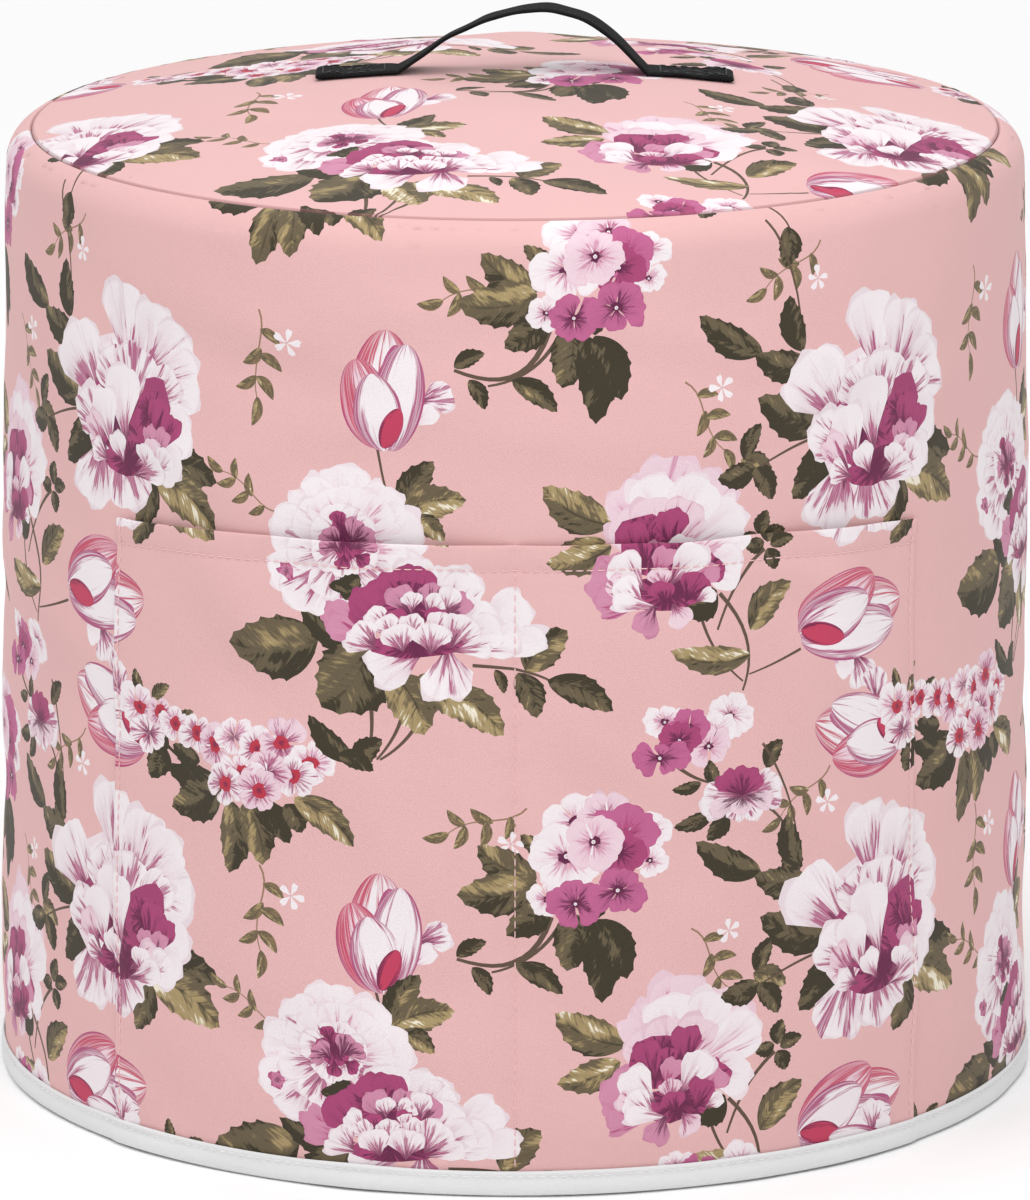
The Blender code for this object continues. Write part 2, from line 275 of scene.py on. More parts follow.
def whorl(at, radius, count, light, dark, reach, spread, start=0, squash=1.0):
    """A ring of petals round one centre, the far ones first."""
    turns = [start + 360 * i / count + draw.uniform(-9, 9) for i in range(count)]
    for turn in sorted(turns, key=lambda degrees: -math.sin(math.radians(degrees))):
        x, y = math.cos(math.radians(turn)), squash * math.sin(math.radians(turn))
        length = radius * math.hypot(x, y) * draw.uniform(0.88, 1.1)
        petal(*at, math.degrees(math.atan2(y, x)), length, spread, light, dark, reach)


def floret(at, radius, light, dark, turn, squash):
    """A small open flower of five petals with a dark eye round a white dot."""
    whorl(at, radius, 5, light, dark, 0.5, 42, turn, squash)
    blob(at, radius * 0.36, radius * 0.3, PLUM, PLUM, 0.4)
    blob(at, radius * 0.12, radius * 0.12, WHITE, WHITE, 0.1)


def florets(squashes, *rows):
    """Florets given as (x, y, radius, light, dark, turn), each seen a little from the side."""
    for x, y, radius, light, dark, turn in rows:
        floret((x, y), radius, light, dark, turn, draw.uniform(*squashes))


def rose():
    """The tall open rose, its heart low on the right, with leaves down the left side."""
    stem([(-38, 62), (-27, 44), (-27, 20)], 0.9)
    stem([(-20, -6), (-32, -8), (-44, -14)], 1.0)
    leaves(
        (-27, 21, 104, 18, 0.46, 0.2), (-41, 22, 148, 24, 0.4, 0.3), (-24, 16, 165, 20, 0.5, 0.35),
        (-17, -2, 158, 27, 0.5, 0.35), (-18, -8, 234, 20, 0.58, 0.1), (-43, -13, 190, 13, 0.6, 0.3),
        (-43, -13, 300, 12, 0.6, 0.3), (16, -17, 354, 24, 0.5, 0.25), (13, -21, 333, 29, 0.5, 0.95),
        (12, -22, 250, 18, 0.55, 0.5),
    )
    blob((1, -3), 46, 50, WHITE, ROSE, 0.06)
    fan(WHITE, MAGENTA, 0.55, (1, 8, 94, 29, 27), (7, 5, 72, 28, 26), (8, 8, 40, 24, 30))
    fan(WHITE, MAGENTA, 0.62, (-10, -4, 128, 29, 33), (8, 6, 8, 24, 38))
    fan(WHITE, MAGENTA, 0.78, (-10, -12, 250, 25, 32), (-3, -14, 288, 21, 38))
    blob((-3, -4), 28, 26, MAGENTA, PLUM, 0.08)
    fan(WHITE, MAGENTA, 0.4, (10, -10, 14, 20, 34), (10, -12, -26, 17, 36))
    fan(WHITE, MAGENTA, 0.82, (-8, -13, 146, 18, 40), (2, -2, 128, 20, 32), (3, -3, 82, 21, 36))
    fan(WHITE, MAGENTA, 0.82, (8, -2, 44, 19, 30))
    blob((12, -3), 15, 22, MAGENTA, PLUM, 0.2, -14)
    fan(MAGENTA, PLUM, 0.7, (14, -12, 84, 15, 24), (17, -14, 64, 13, 24))
    fan(ROSE, PLUM, 0.55, (16, -15, 74, 9, 30), (13, -15, 100, 9, 26))
    blob((2, -18), 26, 11, MAGENTA, PLUM, 0.1, 12)
    fan(WHITE, MAGENTA, 0.4, (1, -14, 96, 25, 25), (-6, -17, 104, 20, 26))
    fan(BLUSH, MAGENTA, 0.75, (-9, -18, 128, 14, 28), (4, -20, 30, 15, 26))
    fan(WHITE, MAGENTA, 0.5, (9, -20, 84, 8, 46), (-1, -20, 112, 10, 36), (15, -20, 50, 9, 40))
    fan(WHITE, MAGENTA, 0.72, (3, -23, 16, 15, 24), (-8, -20, 160, 9, 36))


def pale_peony():
    """The white peony seen from the front, with a ragged magenta heart."""
    leaves((18, 8, 60, 19, 0.5, 0.45), (18, 8, 14, 20, 0.52, 1.0), (21, 7, 326, 12, 0.55, 0.85))
    fan(
        WHITE, ROSE, 0.55, (0, 2, 92, 20, 36), (0, 0, 136, 21, 32), (2, -2, 12, 23, 28), (1, -1, 44, 22, 30),
        (0, -1, 174, 24, 27), (2, -3, 340, 22, 28), (-4, -4, 200, 22, 24), (-2, -6, 258, 18, 36),
        (2, -4, 302, 18, 34),
    )
    fan(WHITE, MAGENTA, 0.66, (-4, -6, 222, 20, 28), (-2, -2, 188, 17, 28), (0, 0, 158, 17, 34))
    fan(WHITE, ROSE, 0.6, (1, 0, 122, 16, 36), (1, 0, 82, 16, 36), (2, 0, 44, 16, 34), (2, -2, 6, 17, 34))
    fan(WHITE, MAGENTA, 0.74, (1, -3, 326, 15, 36), (0, -4, 282, 14, 38), (-2, -4, 240, 14, 34))
    blob((-19, -10), 6, 4.5, MAGENTA, ROSE, 0.3, -30)
    whorl((0, 0), 10.5, 7, WHITE, MAGENTA, 0.7, 36, 12)
    blob((0, 1), 11, 10, MAGENTA, PLUM, 0.3)
    fan(ROSE, PLUM, 0.75, (-1, -3, 128, 7, 34), (2, -2, 72, 8, 34), (-2, -1, 186, 6, 34), (3, -1, 22, 7, 38))
    fan(MAGENTA, PLUM, 0.8, (0, -3, 262, 5, 44), (3, -3, 328, 5, 44), (-1, 3, 104, 5, 44))
    leaves((0, -17, 62, 9, 0.8, 0.1), (-5, -13, 350, 8, 0.5, 0.1))


def great_peony():
    """The large peony seen from the side, over broad leaves and closed buds."""
    stem([(-20, -22), (-18, -32), (-19, -42)], 1.7)
    stem([(-9, -32), (-11, -40), (-17, -47)], 1.3)
    stem([(-4, -34), (-8, -42), (-16, -47)], 1.3)
    stem([(12, -17), (32, -17), (40, -24)], 1.1)
    leaves(
        (-35, -10, 187, 31, 0.64, 0.5), (-17, -12, 157, 26, 0.34, 0.05), (-19, -12, 232, 25, 0.92, 0.5),
        (-12, -20, 297, 21, 0.7, 0.95), (-4, -20, 312, 18, 0.55, 0.85), (3, -25, 324, 23, 0.5, 1.0),
        (19, -18, 290, 8, 0.45, 0.3), (26, -19, 292, 15, 0.58, 0.45), (35, -21, 333, 22, 0.42, 0.35),
        (28, -18, 45, 18, 0.66, 0.6), (-24, -48, 137, 20, 0.36, 0.1), (-24, -49, 45, 12, 0.62, 0.15),
        (-29, -46, 338, 12, 0.5, 0.05),
    )
    fan(WHITE, MAGENTA, 0.42, (12, -7, 32, 20, 30), (10, -12, 8, 25, 16))
    fan(WHITE, MAGENTA, 0.6, (5, -12, 16, 22, 26), (4, -11, 274, 17, 42), (-1, -11, 206, 20, 32))
    fan(ROSE, MAGENTA, 0.6, (-18, -8, 148, 17, 22), (-16, -9, 166, 17, 20))
    fan(WHITE, MAGENTA, 0.5, (2, -4, 70, 20, 34), (-4, 0, 92, 17, 34))
    fan(MAGENTA, PLUM, 0.55, (-12, -9, 124, 19, 34), (-7, -2, 110, 16, 38), (-5, 0, 84, 14, 34))
    fan(WHITE, MAGENTA, 0.55, (3, -3, 56, 17, 32), (5, -10, 46, 18, 34), (6, -10, 20, 16, 30))
    blob((-7, 2), 20, 14, MAGENTA, PLUM, 0.14)
    fan(ROSE, PLUM, 0.6, (-6, -2, 118, 11, 34), (-2, -2, 76, 11, 34), (3, -3, 48, 11, 32))
    fan(WHITE, MAGENTA, 0.6, (-13, -5, 138, 8, 40), (-6, 0, 96, 6, 46), (-1, -1, 62, 7, 44))
    fan(WHITE, MAGENTA, 0.6, (4, 0, 74, 8, 38))
    fan(MAGENTA, PLUM, 0.6, (-9, -6, 112, 7, 40), (0, -6, 78, 7, 44))
    blob((-5, -11), 28, 8, MAGENTA, PLUM, 0.1)
    fan(WHITE, MAGENTA, 0.7, (-12, -8, 116, 7, 46), (-6, -8, 96, 7, 46), (0, -8, 70, 8, 44))
    fan(WHITE, MAGENTA, 0.72, (-17, -11, 128, 9, 44), (5, -12, 62, 12, 44))
    fan(WHITE, MAGENTA, 0.66, (-9, -13, 104, 9, 52), (-1, -14, 86, 10, 52))
    fan(WHITE, MAGENTA, 0.66, (-16, -12, 168, 11, 22), (5, -13, 10, 13, 20))


def round_peony():
    """The peony with a pale hood and a magenta bowl, on a long branching stem."""
    stem([(33, -3), (22, -10), (16, -26)], 1.3)
    stem([(17, -15), (28, -27), (28, -38), (25, -46)], 1.3)
    stem([(11, -22), (14, -34), (25, -43)], 1.0)
    leaves(
        (16, -14, 210, 13, 0.8, 0.1), (27, -35, 172, 26, 0.34, 0.95), (27, -27, 42, 20, 0.5, 0.75),
        (34, -1, 75, 8, 0.7, 0.3), (33, -1, 185, 7, 0.7, 0.3), (34, -3, 290, 7, 0.8, 0.2),
        (35, -2, 15, 8, 0.6, 0.3), (27, 23, 333, 12, 0.6, 0.75), (28, 23, 62, 12, 0.5, 0.3),
        (-14, 6, 150, 24, 0.5, 0.85), (-16, 1, 194, 20, 0.48, 0.95),
    )
    fan(BLUSH, ROSE, 0.7, (0, -2, 122, 23, 30), (0, 0, 78, 27, 32), (3, -2, 48, 28, 26))
    fan(WHITE, ROSE, 0.5, (5, -4, 26, 26, 24), (7, -6, -6, 18, 34), (2, 0, 98, 21, 34), (4, 0, 56, 22, 30))
    fan(BLUSH, MAGENTA, 0.62, (0, -4, 132, 18, 34), (0, -3, 96, 17, 34), (3, -3, 62, 17, 34))
    fan(ROSE, MAGENTA, 0.7, (-7, -16, 143, 18, 38), (-6, -17, 176, 15, 28))
    blob((-4, 0), 21, 17, MAGENTA, PLUM, 0.16)
    fan(MAGENTA, PLUM, 0.6, (-6, -7, 98, 14, 26), (4, -3, 86, 13, 32))
    fan(MAGENTA, PLUM, 0.85, (-2, -4, 84, 8, 30), (8, -11, 38, 11, 42))
    fan(ROSE, MAGENTA, 0.5, (-3, -9, 70, 10, 30), (9, -12, 44, 9, 40))
    blob((1, -14), 24, 11, MAGENTA, PLUM, 0.12)
    fan(WHITE, MAGENTA, 0.5, (1, -12, 54, 16, 28), (-6, -13, 130, 14, 34))
    fan(BLUSH, MAGENTA, 0.8, (-10, -15, 140, 9, 34), (-1, -13, 96, 7, 44))
    fan(MAGENTA, PLUM, 0.6, (6, -17, 60, 10, 42), (0, -17, 100, 7, 50))
    fan(WHITE, MAGENTA, 0.6, (-6, -18, 138, 12, 34), (9, -17, 24, 7, 30), (-2, -18, 168, 14, 18))
    fan(ROSE, PLUM, 0.55, (-3, -17, 240, 10, 38))
    fan(BLUSH, MAGENTA, 0.6, (2, -17, 300, 8, 44))


def tulip():
    """A closed tulip that stands on its stem, one petal curling out at the side."""
    fan(WHITE, MAGENTA, 0.8, (8, -3, 12, 11, 40))
    fan(WHITE, ROSE, 0.4, (5, -11, 32, 10, 26))
    tulip_petal(-6, -17, 81, 37, 0.54, TULIP_RED, WHITE, 0.8)
    tulip_petal(-2, -10, 80, 25, 0.34, MAGENTA, ROSE, 0.9)
    tulip_petal(-2, -18.5, 77, 34, 0.48, MAGENTA, WHITE, 0.68)
    tulip_petal(-6, -17.5, 100, 28.5, 0.58, TULIP_RED, BLUSH, 0.95)
    tulip_petal(-4, -18.5, 95, 24.5, 0.64, MAGENTA, WHITE, 0.64)
    tulip_petal(-4.5, -17.5, 62, 14, 0.48, PLUM, TULIP_RED, 0.5)


def branch_cluster():
    """Violet and pale florets over dark leaves on a woody branch."""
    stem([(-16, -16), (-22, -34), (-34, -34), (-47, -29)], 2.0)
    stem([(-14, -20), (-22, -32), (-36, -34)], 1.4)
    leaves(
        (-20, -3, 146, 22, 0.52, 0.65), (-20, -4, 187, 26, 0.56, 0.65), (-17, -10, 221, 18, 0.62, 0.35),
        (-9, -15, 262, 20, 0.68, 0.4), (-4, -18, 276, 29, 0.44, -0.1), (-1, -18, 292, 23, 0.5, 0.0),
        (-28, -32, 324, 18, 0.42, 0.35), (-42, -32, 298, 11, 0.5, 0.3), (-47, -28, 25, 11, 0.5, 0.25),
        (-14, 6, 150, 12, 0.5, 0.6), (-3, -6, 280, 12, 0.8, 0.1),
    )
    florets(
        (0.75, 0.95), (-17, -10, 6.5, WHITE, ROSE, 0), (17, 10, 8, WHITE, ROSE, 0),
        (17, 0, 6, WHITE, ROSE, 40), (-6, 15, 12, WHITE, ROSE, 20), (4, 16, 10, BLUSH, MAGENTA, 50),
        (9, 9, 11, ORCHID, MAGENTA, 10),
        (-10, 4, 13, WHITE, ROSE, 34), (7, 4, 9, MAGENTA, PLUM, 66), (-1, 8, 11, BLUSH, ROSE, 0),
        (-8, -12, 9, ORCHID, PLUM, 28), (6, -9, 10.5, ORCHID, PLUM, 52),
    )


def blossom_spray():
    """Small pale blossoms with red eyes over a fan of dark leaves."""
    leaves(
        (-4, -12, 172, 22, 0.44, -0.05), (-4, -12, 205, 23, 0.6, 0.4), (-12, -6, 160, 12, 0.6, 0.1),
        (0, -17, 264, 23, 0.5, 0.55), (5, -17, 282, 20, 0.56, 0.7), (8, -16, 308, 17, 0.5, -0.1),
        (18, -17, 296, 10, 0.8, 0.25), (21, -15, 320, 23, 0.44, 0.95), (-28, -2, 250, 12, 0.8, 0.2),
        (-30, 12, 34, 9, 0.5, 0.7), (-34, 14, 108, 8, 0.5, 0.5), (-20, 4, 40, 9, 0.5, 0.7),
        (-26, 2, 232, 9, 0.7, 0.2),
    )
    stem([(-26, -2), (-16, -10), (-6, -12)], 1.2, DEEP_LEAF)
    spots = (
        (-36, 9), (-33, 1), (-27, 8), (-21, 5), (-12, 3), (-5, 0), (2, 3), (10, 0), (18, 2), (27, -4),
        (21, -8), (13, -7), (4, -8), (-2, -12), (10, -13),
    )
    for i, (x, y) in enumerate(spots):
        light, dark = ((WHITE, ROSE), (WHITE, MAGENTA), (BLUSH, MAGENTA))[i % 3]
        whorl((x, y), draw.uniform(6.5, 8.5), 5, light, dark, 0.7, 38, 31 * i, draw.uniform(0.7, 1))
        if i % 5 != 1:
            blob((x, y), 5.4, 4.4, BLOSSOM_RED, BLOSSOM_RED, 0.2, 20 * i)


def violets():
    """Violet and pale florets, with a single flower below them on a long stem."""
    stem([(-3, -8), (2, -13), (9, -15)], 1.2)
    stem([(24, -24), (33, -30), (35, -42)], 1.0)
    leaves(
        (9, -15, 105, 8, 0.6, 0.3), (4, -14, 188, 9, 0.45, 0.3), (8, -24, 195, 13, 0.42, 0.25),
        (12, -25, 232, 10, 0.62, 0.15), (26, -13, 50, 10, 0.62, 0.3), (34, -39, 262, 12, 0.65, 0.3),
    )
    florets(
        (0.7, 0.9), (-6, 6, 6.5, WHITE, ROSE, 10), (15, 5, 8, WHITE, ROSE, 50), (9, 1, 8, WHITE, ROSE, 0),
        (7, -3, 8, BLUSH, ROSE, 20), (1, 4, 7, ORCHID, MAGENTA, 40), (-2, 0, 7, MAGENTA, PLUM, 5),
    )
    floret((-8, -5), 8.5, ORCHID, PLUM, 6, 0.55)
    whorl((17, -20), 13, 6, WHITE, MAGENTA, 0.8, 38, 4, 0.6)
    fan(MAGENTA, PLUM, 0.6, (17, -20, 128, 10, 34), (17, -20, 82, 9, 34), (17, -20, 42, 9, 34))
    fan(BLUSH, PLUM, 0.6, (17, -20, 200, 11, 24), (18, -20, 336, 10, 26), (17, -20, 262, 6, 50))


def sprig():
    """A light twig with paired small leaves."""
    stem([(0, 0), (8, 5), (16, -5), (28, 0)], 0.7, LIGHT_TWIG)
    for along, across, lean, length in (
        (6, 1, 58, 8), (12, 1, -52, 9), (14, 0, 60, 9), (21, -1, 46, 9), (21, -1, -60, 8), (27, 0, -8, 9),
    ):
        leaf(along, across, lean, length, 0.42, 0.65, TAN, SPRIG_DARK, 0.1, 0)


def star_sprig():
    """The twig with a small white flower beside it."""
    sprig()
    whorl((9, 10), 4.6, 5, WHITE, WHITE, 0.2, 20, 18)


# Each motif: its place in the upper row, its place in the lower row, its size and its turn.
MOTIFS = (
    (star_sprig, (-80, 269), (-80, 100), 1.0, 268), (star_sprig, (52, 249), (51, 83), 0.9, 300),
    (sprig, (-73, 208), (-73, 50), 0.8, 152), (star_sprig, (2, 282), (2, 122), 0.9, 196),
    (star_sprig, (98, 288), (99, 128), 0.85, 214), (branch_cluster, (25, 281), (23, 104), 0.92, 0),
    (tulip, (-37, 247), (-39, 82), 0.98, 4), (blossom_spray, (-79, 322), (-90, 136), 1.0, 0),
    (violets, (53, 332), (49, 142), 1.0, 0), (round_peony, (43, 201), (46, 42), 1.0, 0),
    (rose, (118, 234), (116, 78), 1.0, 0), (pale_peony, (-52, 202), (-56, 44), 1.0, 0),
    (great_peony, (-26, 182), (-34, 25), 0.98, 0), (tulip, (108, 172), (108, 15), 1.08, -74),
    (tulip, (112, 331), (112, 139), 0.98, 76),
)
TULIP_STEMS = (
    ((-42, 230), (-40, 218), (-36, 208)), ((-43, 65), (-41, 56), (-37, 48)),
    ((88, 166), (78, 162), (70, 160)),
)


def draw_repeat():
    """Every shape of one repeat, the lowest layer first. The lower row is turned a little."""
    for points in TULIP_STEMS:
        stem(list(points), 0.9)
    for motif, upper, lower, size, degrees in MOTIFS:
        lay(motif, upper, size, degrees)
        lay(motif, lower, size, degrees + 3)


# ---- The shape of the cloth -------------------------------------------------------------------

def waves(seed, count, longest, shortest, tilt=math.pi):
    """A smooth random height field of about unit size over cloth places, with no seam at the back."""
    rng = np.random.default_rng(seed)
    lengths = np.exp(rng.uniform(math.log(shortest), math.log(longest), count))
    turns = rng.uniform(-tilt, tilt, count)
    rounds = np.round(np.cos(turns) / lengths * 2 * HALF_ROUND)
    ups = np.sin(turns) / lengths
    phases = rng.uniform(0, math.tau, count)
    strength = np.sqrt(2 / count)

    def height(s, v):
        total = np.zeros(np.shape(s))
        for around, up, phase in zip(rounds, ups, phases):
            total += np.cos(around * s / S_RADIUS + math.tau * up * v + phase)
        return strength * total

    return height


def smooth_step(value, low, high):
    share = np.clip((value - low) / (high - low), 0, 1)
    return share * share * (3 - 2 * share)


def bell(distance, width):
    return np.exp(-((distance / width) ** 2))


def drag_line(s, v, middle, degrees, length, width, height):
    """A soft crease: a ridge along a slanted line with a hollow under it."""
    slope = math.radians(degrees)
    along = (s - middle[0]) * math.cos(slope) + (v - middle[1]) * math.sin(slope)
    across = (v - middle[1]) * math.cos(slope) - (s - middle[0]) * math.sin(slope)
    return height * bell(along, length) * (bell(across, width) - 0.8 * bell(across + 1.7 * width, width))


BROAD = waves(3, 14, 0.16, 0.06, math.radians(75))
FINE = waves(4, 24, 0.05, 0.018)
PUCKER = waves(5, 16, 0.0105, 0.006, math.radians(12))
PUCKER_STRENGTH = waves(6, 8, 0.12, 0.04, math.radians(20))

# Each crease: its middle, its slope in degrees, its length, its width and its height.
WALL_CREASES = (
    ((-0.085, 0.262), -10, 0.05, 0.007, 0.0007), ((-0.02, 0.272), 8, 0.05, 0.006, 0.0006),
    ((0.055, 0.262), -14, 0.045, 0.006, 0.0007), ((-0.05, 0.236), 16, 0.04, 0.006, 0.0005),
    ((0.02, 0.233), -8, 0.045, 0.007, 0.0006), ((0.105, 0.245), 20, 0.04, 0.006, 0.0006),
    ((-0.125, 0.225), -18, 0.04, 0.007, 0.0006), ((0.16, 0.235), -12, 0.05, 0.008, 0.0007),
    ((0.2, 0.12), 14, 0.06, 0.009, 0.0007), ((-0.19, 0.16), -12, 0.06, 0.009, 0.0008),
    ((0.3, 0.21), 10, 0.06, 0.009, 0.0007), ((-0.3, 0.09), 16, 0.06, 0.009, 0.0007),
    ((0.39, 0.06), -14, 0.05, 0.008, 0.0007), ((-0.42, 0.22), -9, 0.06, 0.009, 0.0007),
)
WALL_CREASE_STRENGTH = 1.4
POCKET_CREASES = (
    ((0.09, 0.187), -17, 0.03, 0.006, 0.0011), ((-0.07, 0.17), 12, 0.035, 0.007, 0.0006),
    ((0.045, 0.13), -24, 0.04, 0.007, 0.0006), ((-0.04, 0.07), 20, 0.045, 0.008, 0.0006),
)
SETTLED = []


def settled(s, v):
    """How far the simulated wall moved outwards at these cloth places."""
    if not SETTLED:
        return np.zeros(np.shape(s))
    grid = SETTLED[0]
    rows, columns = grid.shape
    column = (np.asarray(s) / (2 * HALF_ROUND)) % 1 * columns
    row = np.clip(np.asarray(v) / WALL_END_V, 0, 0.9999) * (rows - 1)
    i, j = np.floor(column).astype(int), np.floor(row).astype(int)
    across, up = (smooth_step(share, 0, 1) for share in (column - i, row - j))
    i, after = i % columns, (i + 1) % columns
    low = grid[j, i] * (1 - across) + grid[j, after] * across
    high = grid[j + 1, i] * (1 - across) + grid[j + 1, after] * across
    return low * (1 - up) + high * up


def puckers(s, v):
    """Small gathers along a seam, uneven from place to place."""
    return PUCKER(s, v) * (1 + 0.6 * PUCKER_STRENGTH(s, v))


def wall_relief(s, v):
    """How far the wall's cloth stands proud of the CAD's smooth wall."""
    free = smooth_step(v, 0.004, 0.03) * smooth_step(v, WALL_END_V - 0.002, WALL_END_V - 0.03)
    lift = 0.0005 * BROAD(s, v) + 0.00013 * FINE(s, v) + settled(s, v)
    for crease in WALL_CREASES:
        lift = lift + WALL_CREASE_STRENGTH * drag_line(s, v, *crease)
    seams = bell(WALL_END_V - 0.004 - v, 0.007) + 0.6 * bell(v - 0.012, 0.006)
    gathers = 0.00006 * puckers(s, v) * seams * smooth_step(WALL_END_V - v, 0.0008, 0.003)
    back = -0.0006 * bell(HALF_ROUND - np.abs(s), 0.0011) * smooth_step(v, 0.004, 0.012)
    return free * lift + gathers + back


def wall_profile(v):
    """(radius, height, tilt of the outward normal) of the smooth wall at arc lengths v."""
    turn = np.clip((v - SHOULDER_Z) / SHOULDER_RADIUS, 0, SHOULDER_SWEEP)
    roll = np.clip((v - SHOULDER_END_V) / ROLL_RADIUS, 0, WALL_ROLL_END)
    slope = (WALL_TOP_RADIUS - WALL_BOTTOM_RADIUS) / SHOULDER_Z
    radius = WALL_BOTTOM_RADIUS + slope * np.minimum(v, SHOULDER_Z)
    radius = radius - SHOULDER_RADIUS * (1 - np.cos(turn))
    height = np.minimum(v, SHOULDER_Z) + SHOULDER_RADIUS * np.sin(turn)
    tilt = turn + roll
    radius = radius + ROLL_RADIUS * (np.cos(tilt) - np.cos(turn))
    height = height + ROLL_RADIUS * (np.sin(tilt) - np.sin(turn))
    return radius, height, tilt


def turned(radius, angle, height):
    """Points at these distances from the drum's axis."""
    return np.stack(np.broadcast_arrays(radius * np.cos(angle), radius * np.sin(angle), height), -1)


def on_wall(s, v, lift):
    """Points this far outside the smooth wall."""
    radius, height, tilt = wall_profile(v)
    return turned(radius + lift * np.cos(tilt), FRONT + s / S_RADIUS, height + lift * np.sin(tilt))


def dome_z(radius):
    return DOME_RIM_Z + DOME_HEIGHT * (1 - (radius / DOME_RADIUS) ** 2)


def top_relief(x, y):
    """How far the top cloth stands proud of the CAD's dome."""
    radius = np.hypot(x, y)
    inwards = TOP_ROLL_START - radius
    round_s = np.arctan2(x, -y) * S_RADIUS
    under_strap = 1 - 0.8 * bell(y - STRAP_Y, 0.016) * smooth_step(np.abs(x), 0.09, 0.06)
    lift = 0.0006 * BROAD(x * 1.3, y * 1.3 + 0.4) + 0.00012 * FINE(x, y + 0.2)
    lift = lift * under_strap * smooth_step(inwards, 0, 0.03)
    seam = bell(inwards - 0.002, 0.006) * smooth_step(inwards, 0.0, 0.002)
    return lift + 0.0001 * puckers(round_s, radius) * seam


def on_top(x, y, lift):
    """Points this far above the smooth top, which rolls down into the seam at its rim."""
    flat_radius = np.hypot(x, y)
    radius = np.minimum(flat_radius, TOP_ROLL_START)
    slope = 2 * DOME_HEIGHT * radius / DOME_RADIUS**2
    start = math.pi / 2 - np.arctan(slope)
    tilt = np.maximum(start - (flat_radius - radius) / ROLL_RADIUS, TOP_ROLL_END)
    height = dome_z(radius) + ROLL_RADIUS * (np.sin(tilt) - np.sin(start)) + lift * np.sin(tilt)
    out = radius + ROLL_RADIUS * (np.cos(tilt) - np.cos(start)) + lift * np.cos(tilt)
    return turned(out, np.arctan2(y, x), height)


def folded(past):
    """(how far along, how deep) for cloth that is folded under itself past an edge."""
    arc = np.clip(past, 0, math.pi * FOLD_RADIUS)
    turn = arc / FOLD_RADIUS
    beyond = np.maximum(past - math.pi * FOLD_RADIUS, 0)
    along = np.minimum(past, 0) + FOLD_RADIUS * np.sin(turn) - beyond
    return along, FOLD_RADIUS * (1 - np.cos(turn))


def pocket_slack(s, v):
    """How far the pocket stands off the wall: two loose halves between three lines of stitches."""
    across = np.clip(np.abs(s) / POCKET_HALF_WIDTH, 0, 1)
    belly = np.sin(math.pi * across) ** 0.8
    rise = smooth_step(v, 0.009, 0.1) * (0.75 + 0.25 * smooth_step(v, 0.1, POCKET_TOP))
    slack = 0.0017 * belly * rise * (1 + 0.35 * BROAD(s * 1.5, v * 1.5 + 0.7))
    loose = smooth_step(across, 0.02, 0.12) * smooth_step(across, 1.0, 0.9)
    ripple = 0.0004 * BROAD(s * 2.0 + 0.3, v * 2.0) + 0.00014 * FINE(s, v + 0.5)
    folds = sum(drag_line(s, v, *crease) for crease in POCKET_CREASES)
    centre = -0.0005 * bell(s, 0.0016) - 0.00025 * bell(s, 0.006) * (1 + 0.5 * np.cos(math.tau * v / 0.011))
    return slack + smooth_step(v, 0.006, 0.02) * (loose * (ripple + folds) + centre)


def pocket_lift(s, v):
    """How far the pocket's cloth stands proud of the smooth wall."""
    edge = smooth_step(np.abs(s), POCKET_HALF_WIDTH - 0.009, POCKET_HALF_WIDTH - 0.005)
    base = 0.0005 + 0.0007 * np.maximum(smooth_step(v, 0.008, 0.02), edge)
    return base + pocket_slack(s, v) + wall_relief(s, v)


def stitch_line(distance, width=0.0009, depth=0.00028):
    """The groove that a row of stitches pulls into soft cloth."""
    return -depth * bell(distance, width) - 0.5 * depth * bell(distance, 4 * width)


def on_pocket(s, v):
    """Points of the pocket, whose top and side edges are folded under."""
    s_along, s_deep = folded(np.abs(s) - POCKET_HALF_WIDTH)
    v_along, v_deep = folded(v - POCKET_TOP)
    s_now = np.sign(s) * (POCKET_HALF_WIDTH + s_along)
    v_now = POCKET_TOP + v_along
    droop = POCKET_DROOP * np.clip(np.abs(s_now) / POCKET_HALF_WIDTH, 0, 1) ** 3 * (v_now / POCKET_TOP) ** 2
    v_down = v_now - droop
    hem = stitch_line(v - (POCKET_TOP - POCKET_HEM))
    hem = hem + 0.0004 * smooth_step(v, POCKET_TOP - 0.009, POCKET_TOP - 0.005)
    edges = stitch_line(np.abs(s) - (POCKET_HALF_WIDTH - SIDE_STITCH_INSET))
    lift = pocket_lift(s_now, v_down) + hem + edges - s_deep - v_deep
    return on_wall(s_now, v_down, lift)


# ---- Materials --------------------------------------------------------------------------------

class Value:
    """A socket that sums, products and powers can be written with."""

    def __init__(self, nodes, socket):
        self.nodes, self.socket = nodes, socket

    def __add__(self, other):
        return self.nodes.math("ADD", self, other)

    def __radd__(self, other):
        return self.nodes.math("ADD", other, self)

    def __sub__(self, other):
        return self.nodes.math("SUBTRACT", self, other)

    def __rsub__(self, other):
        return self.nodes.math("SUBTRACT", other, self)

    def __mul__(self, other):
        return self.nodes.math("MULTIPLY", self, other)

    def __truediv__(self, other):
        return self.nodes.math("DIVIDE", self, other)

    def __pow__(self, other):
        return self.nodes.math("POWER", self, other)

    def __abs__(self):
        return self.nodes.math("ABSOLUTE", self)


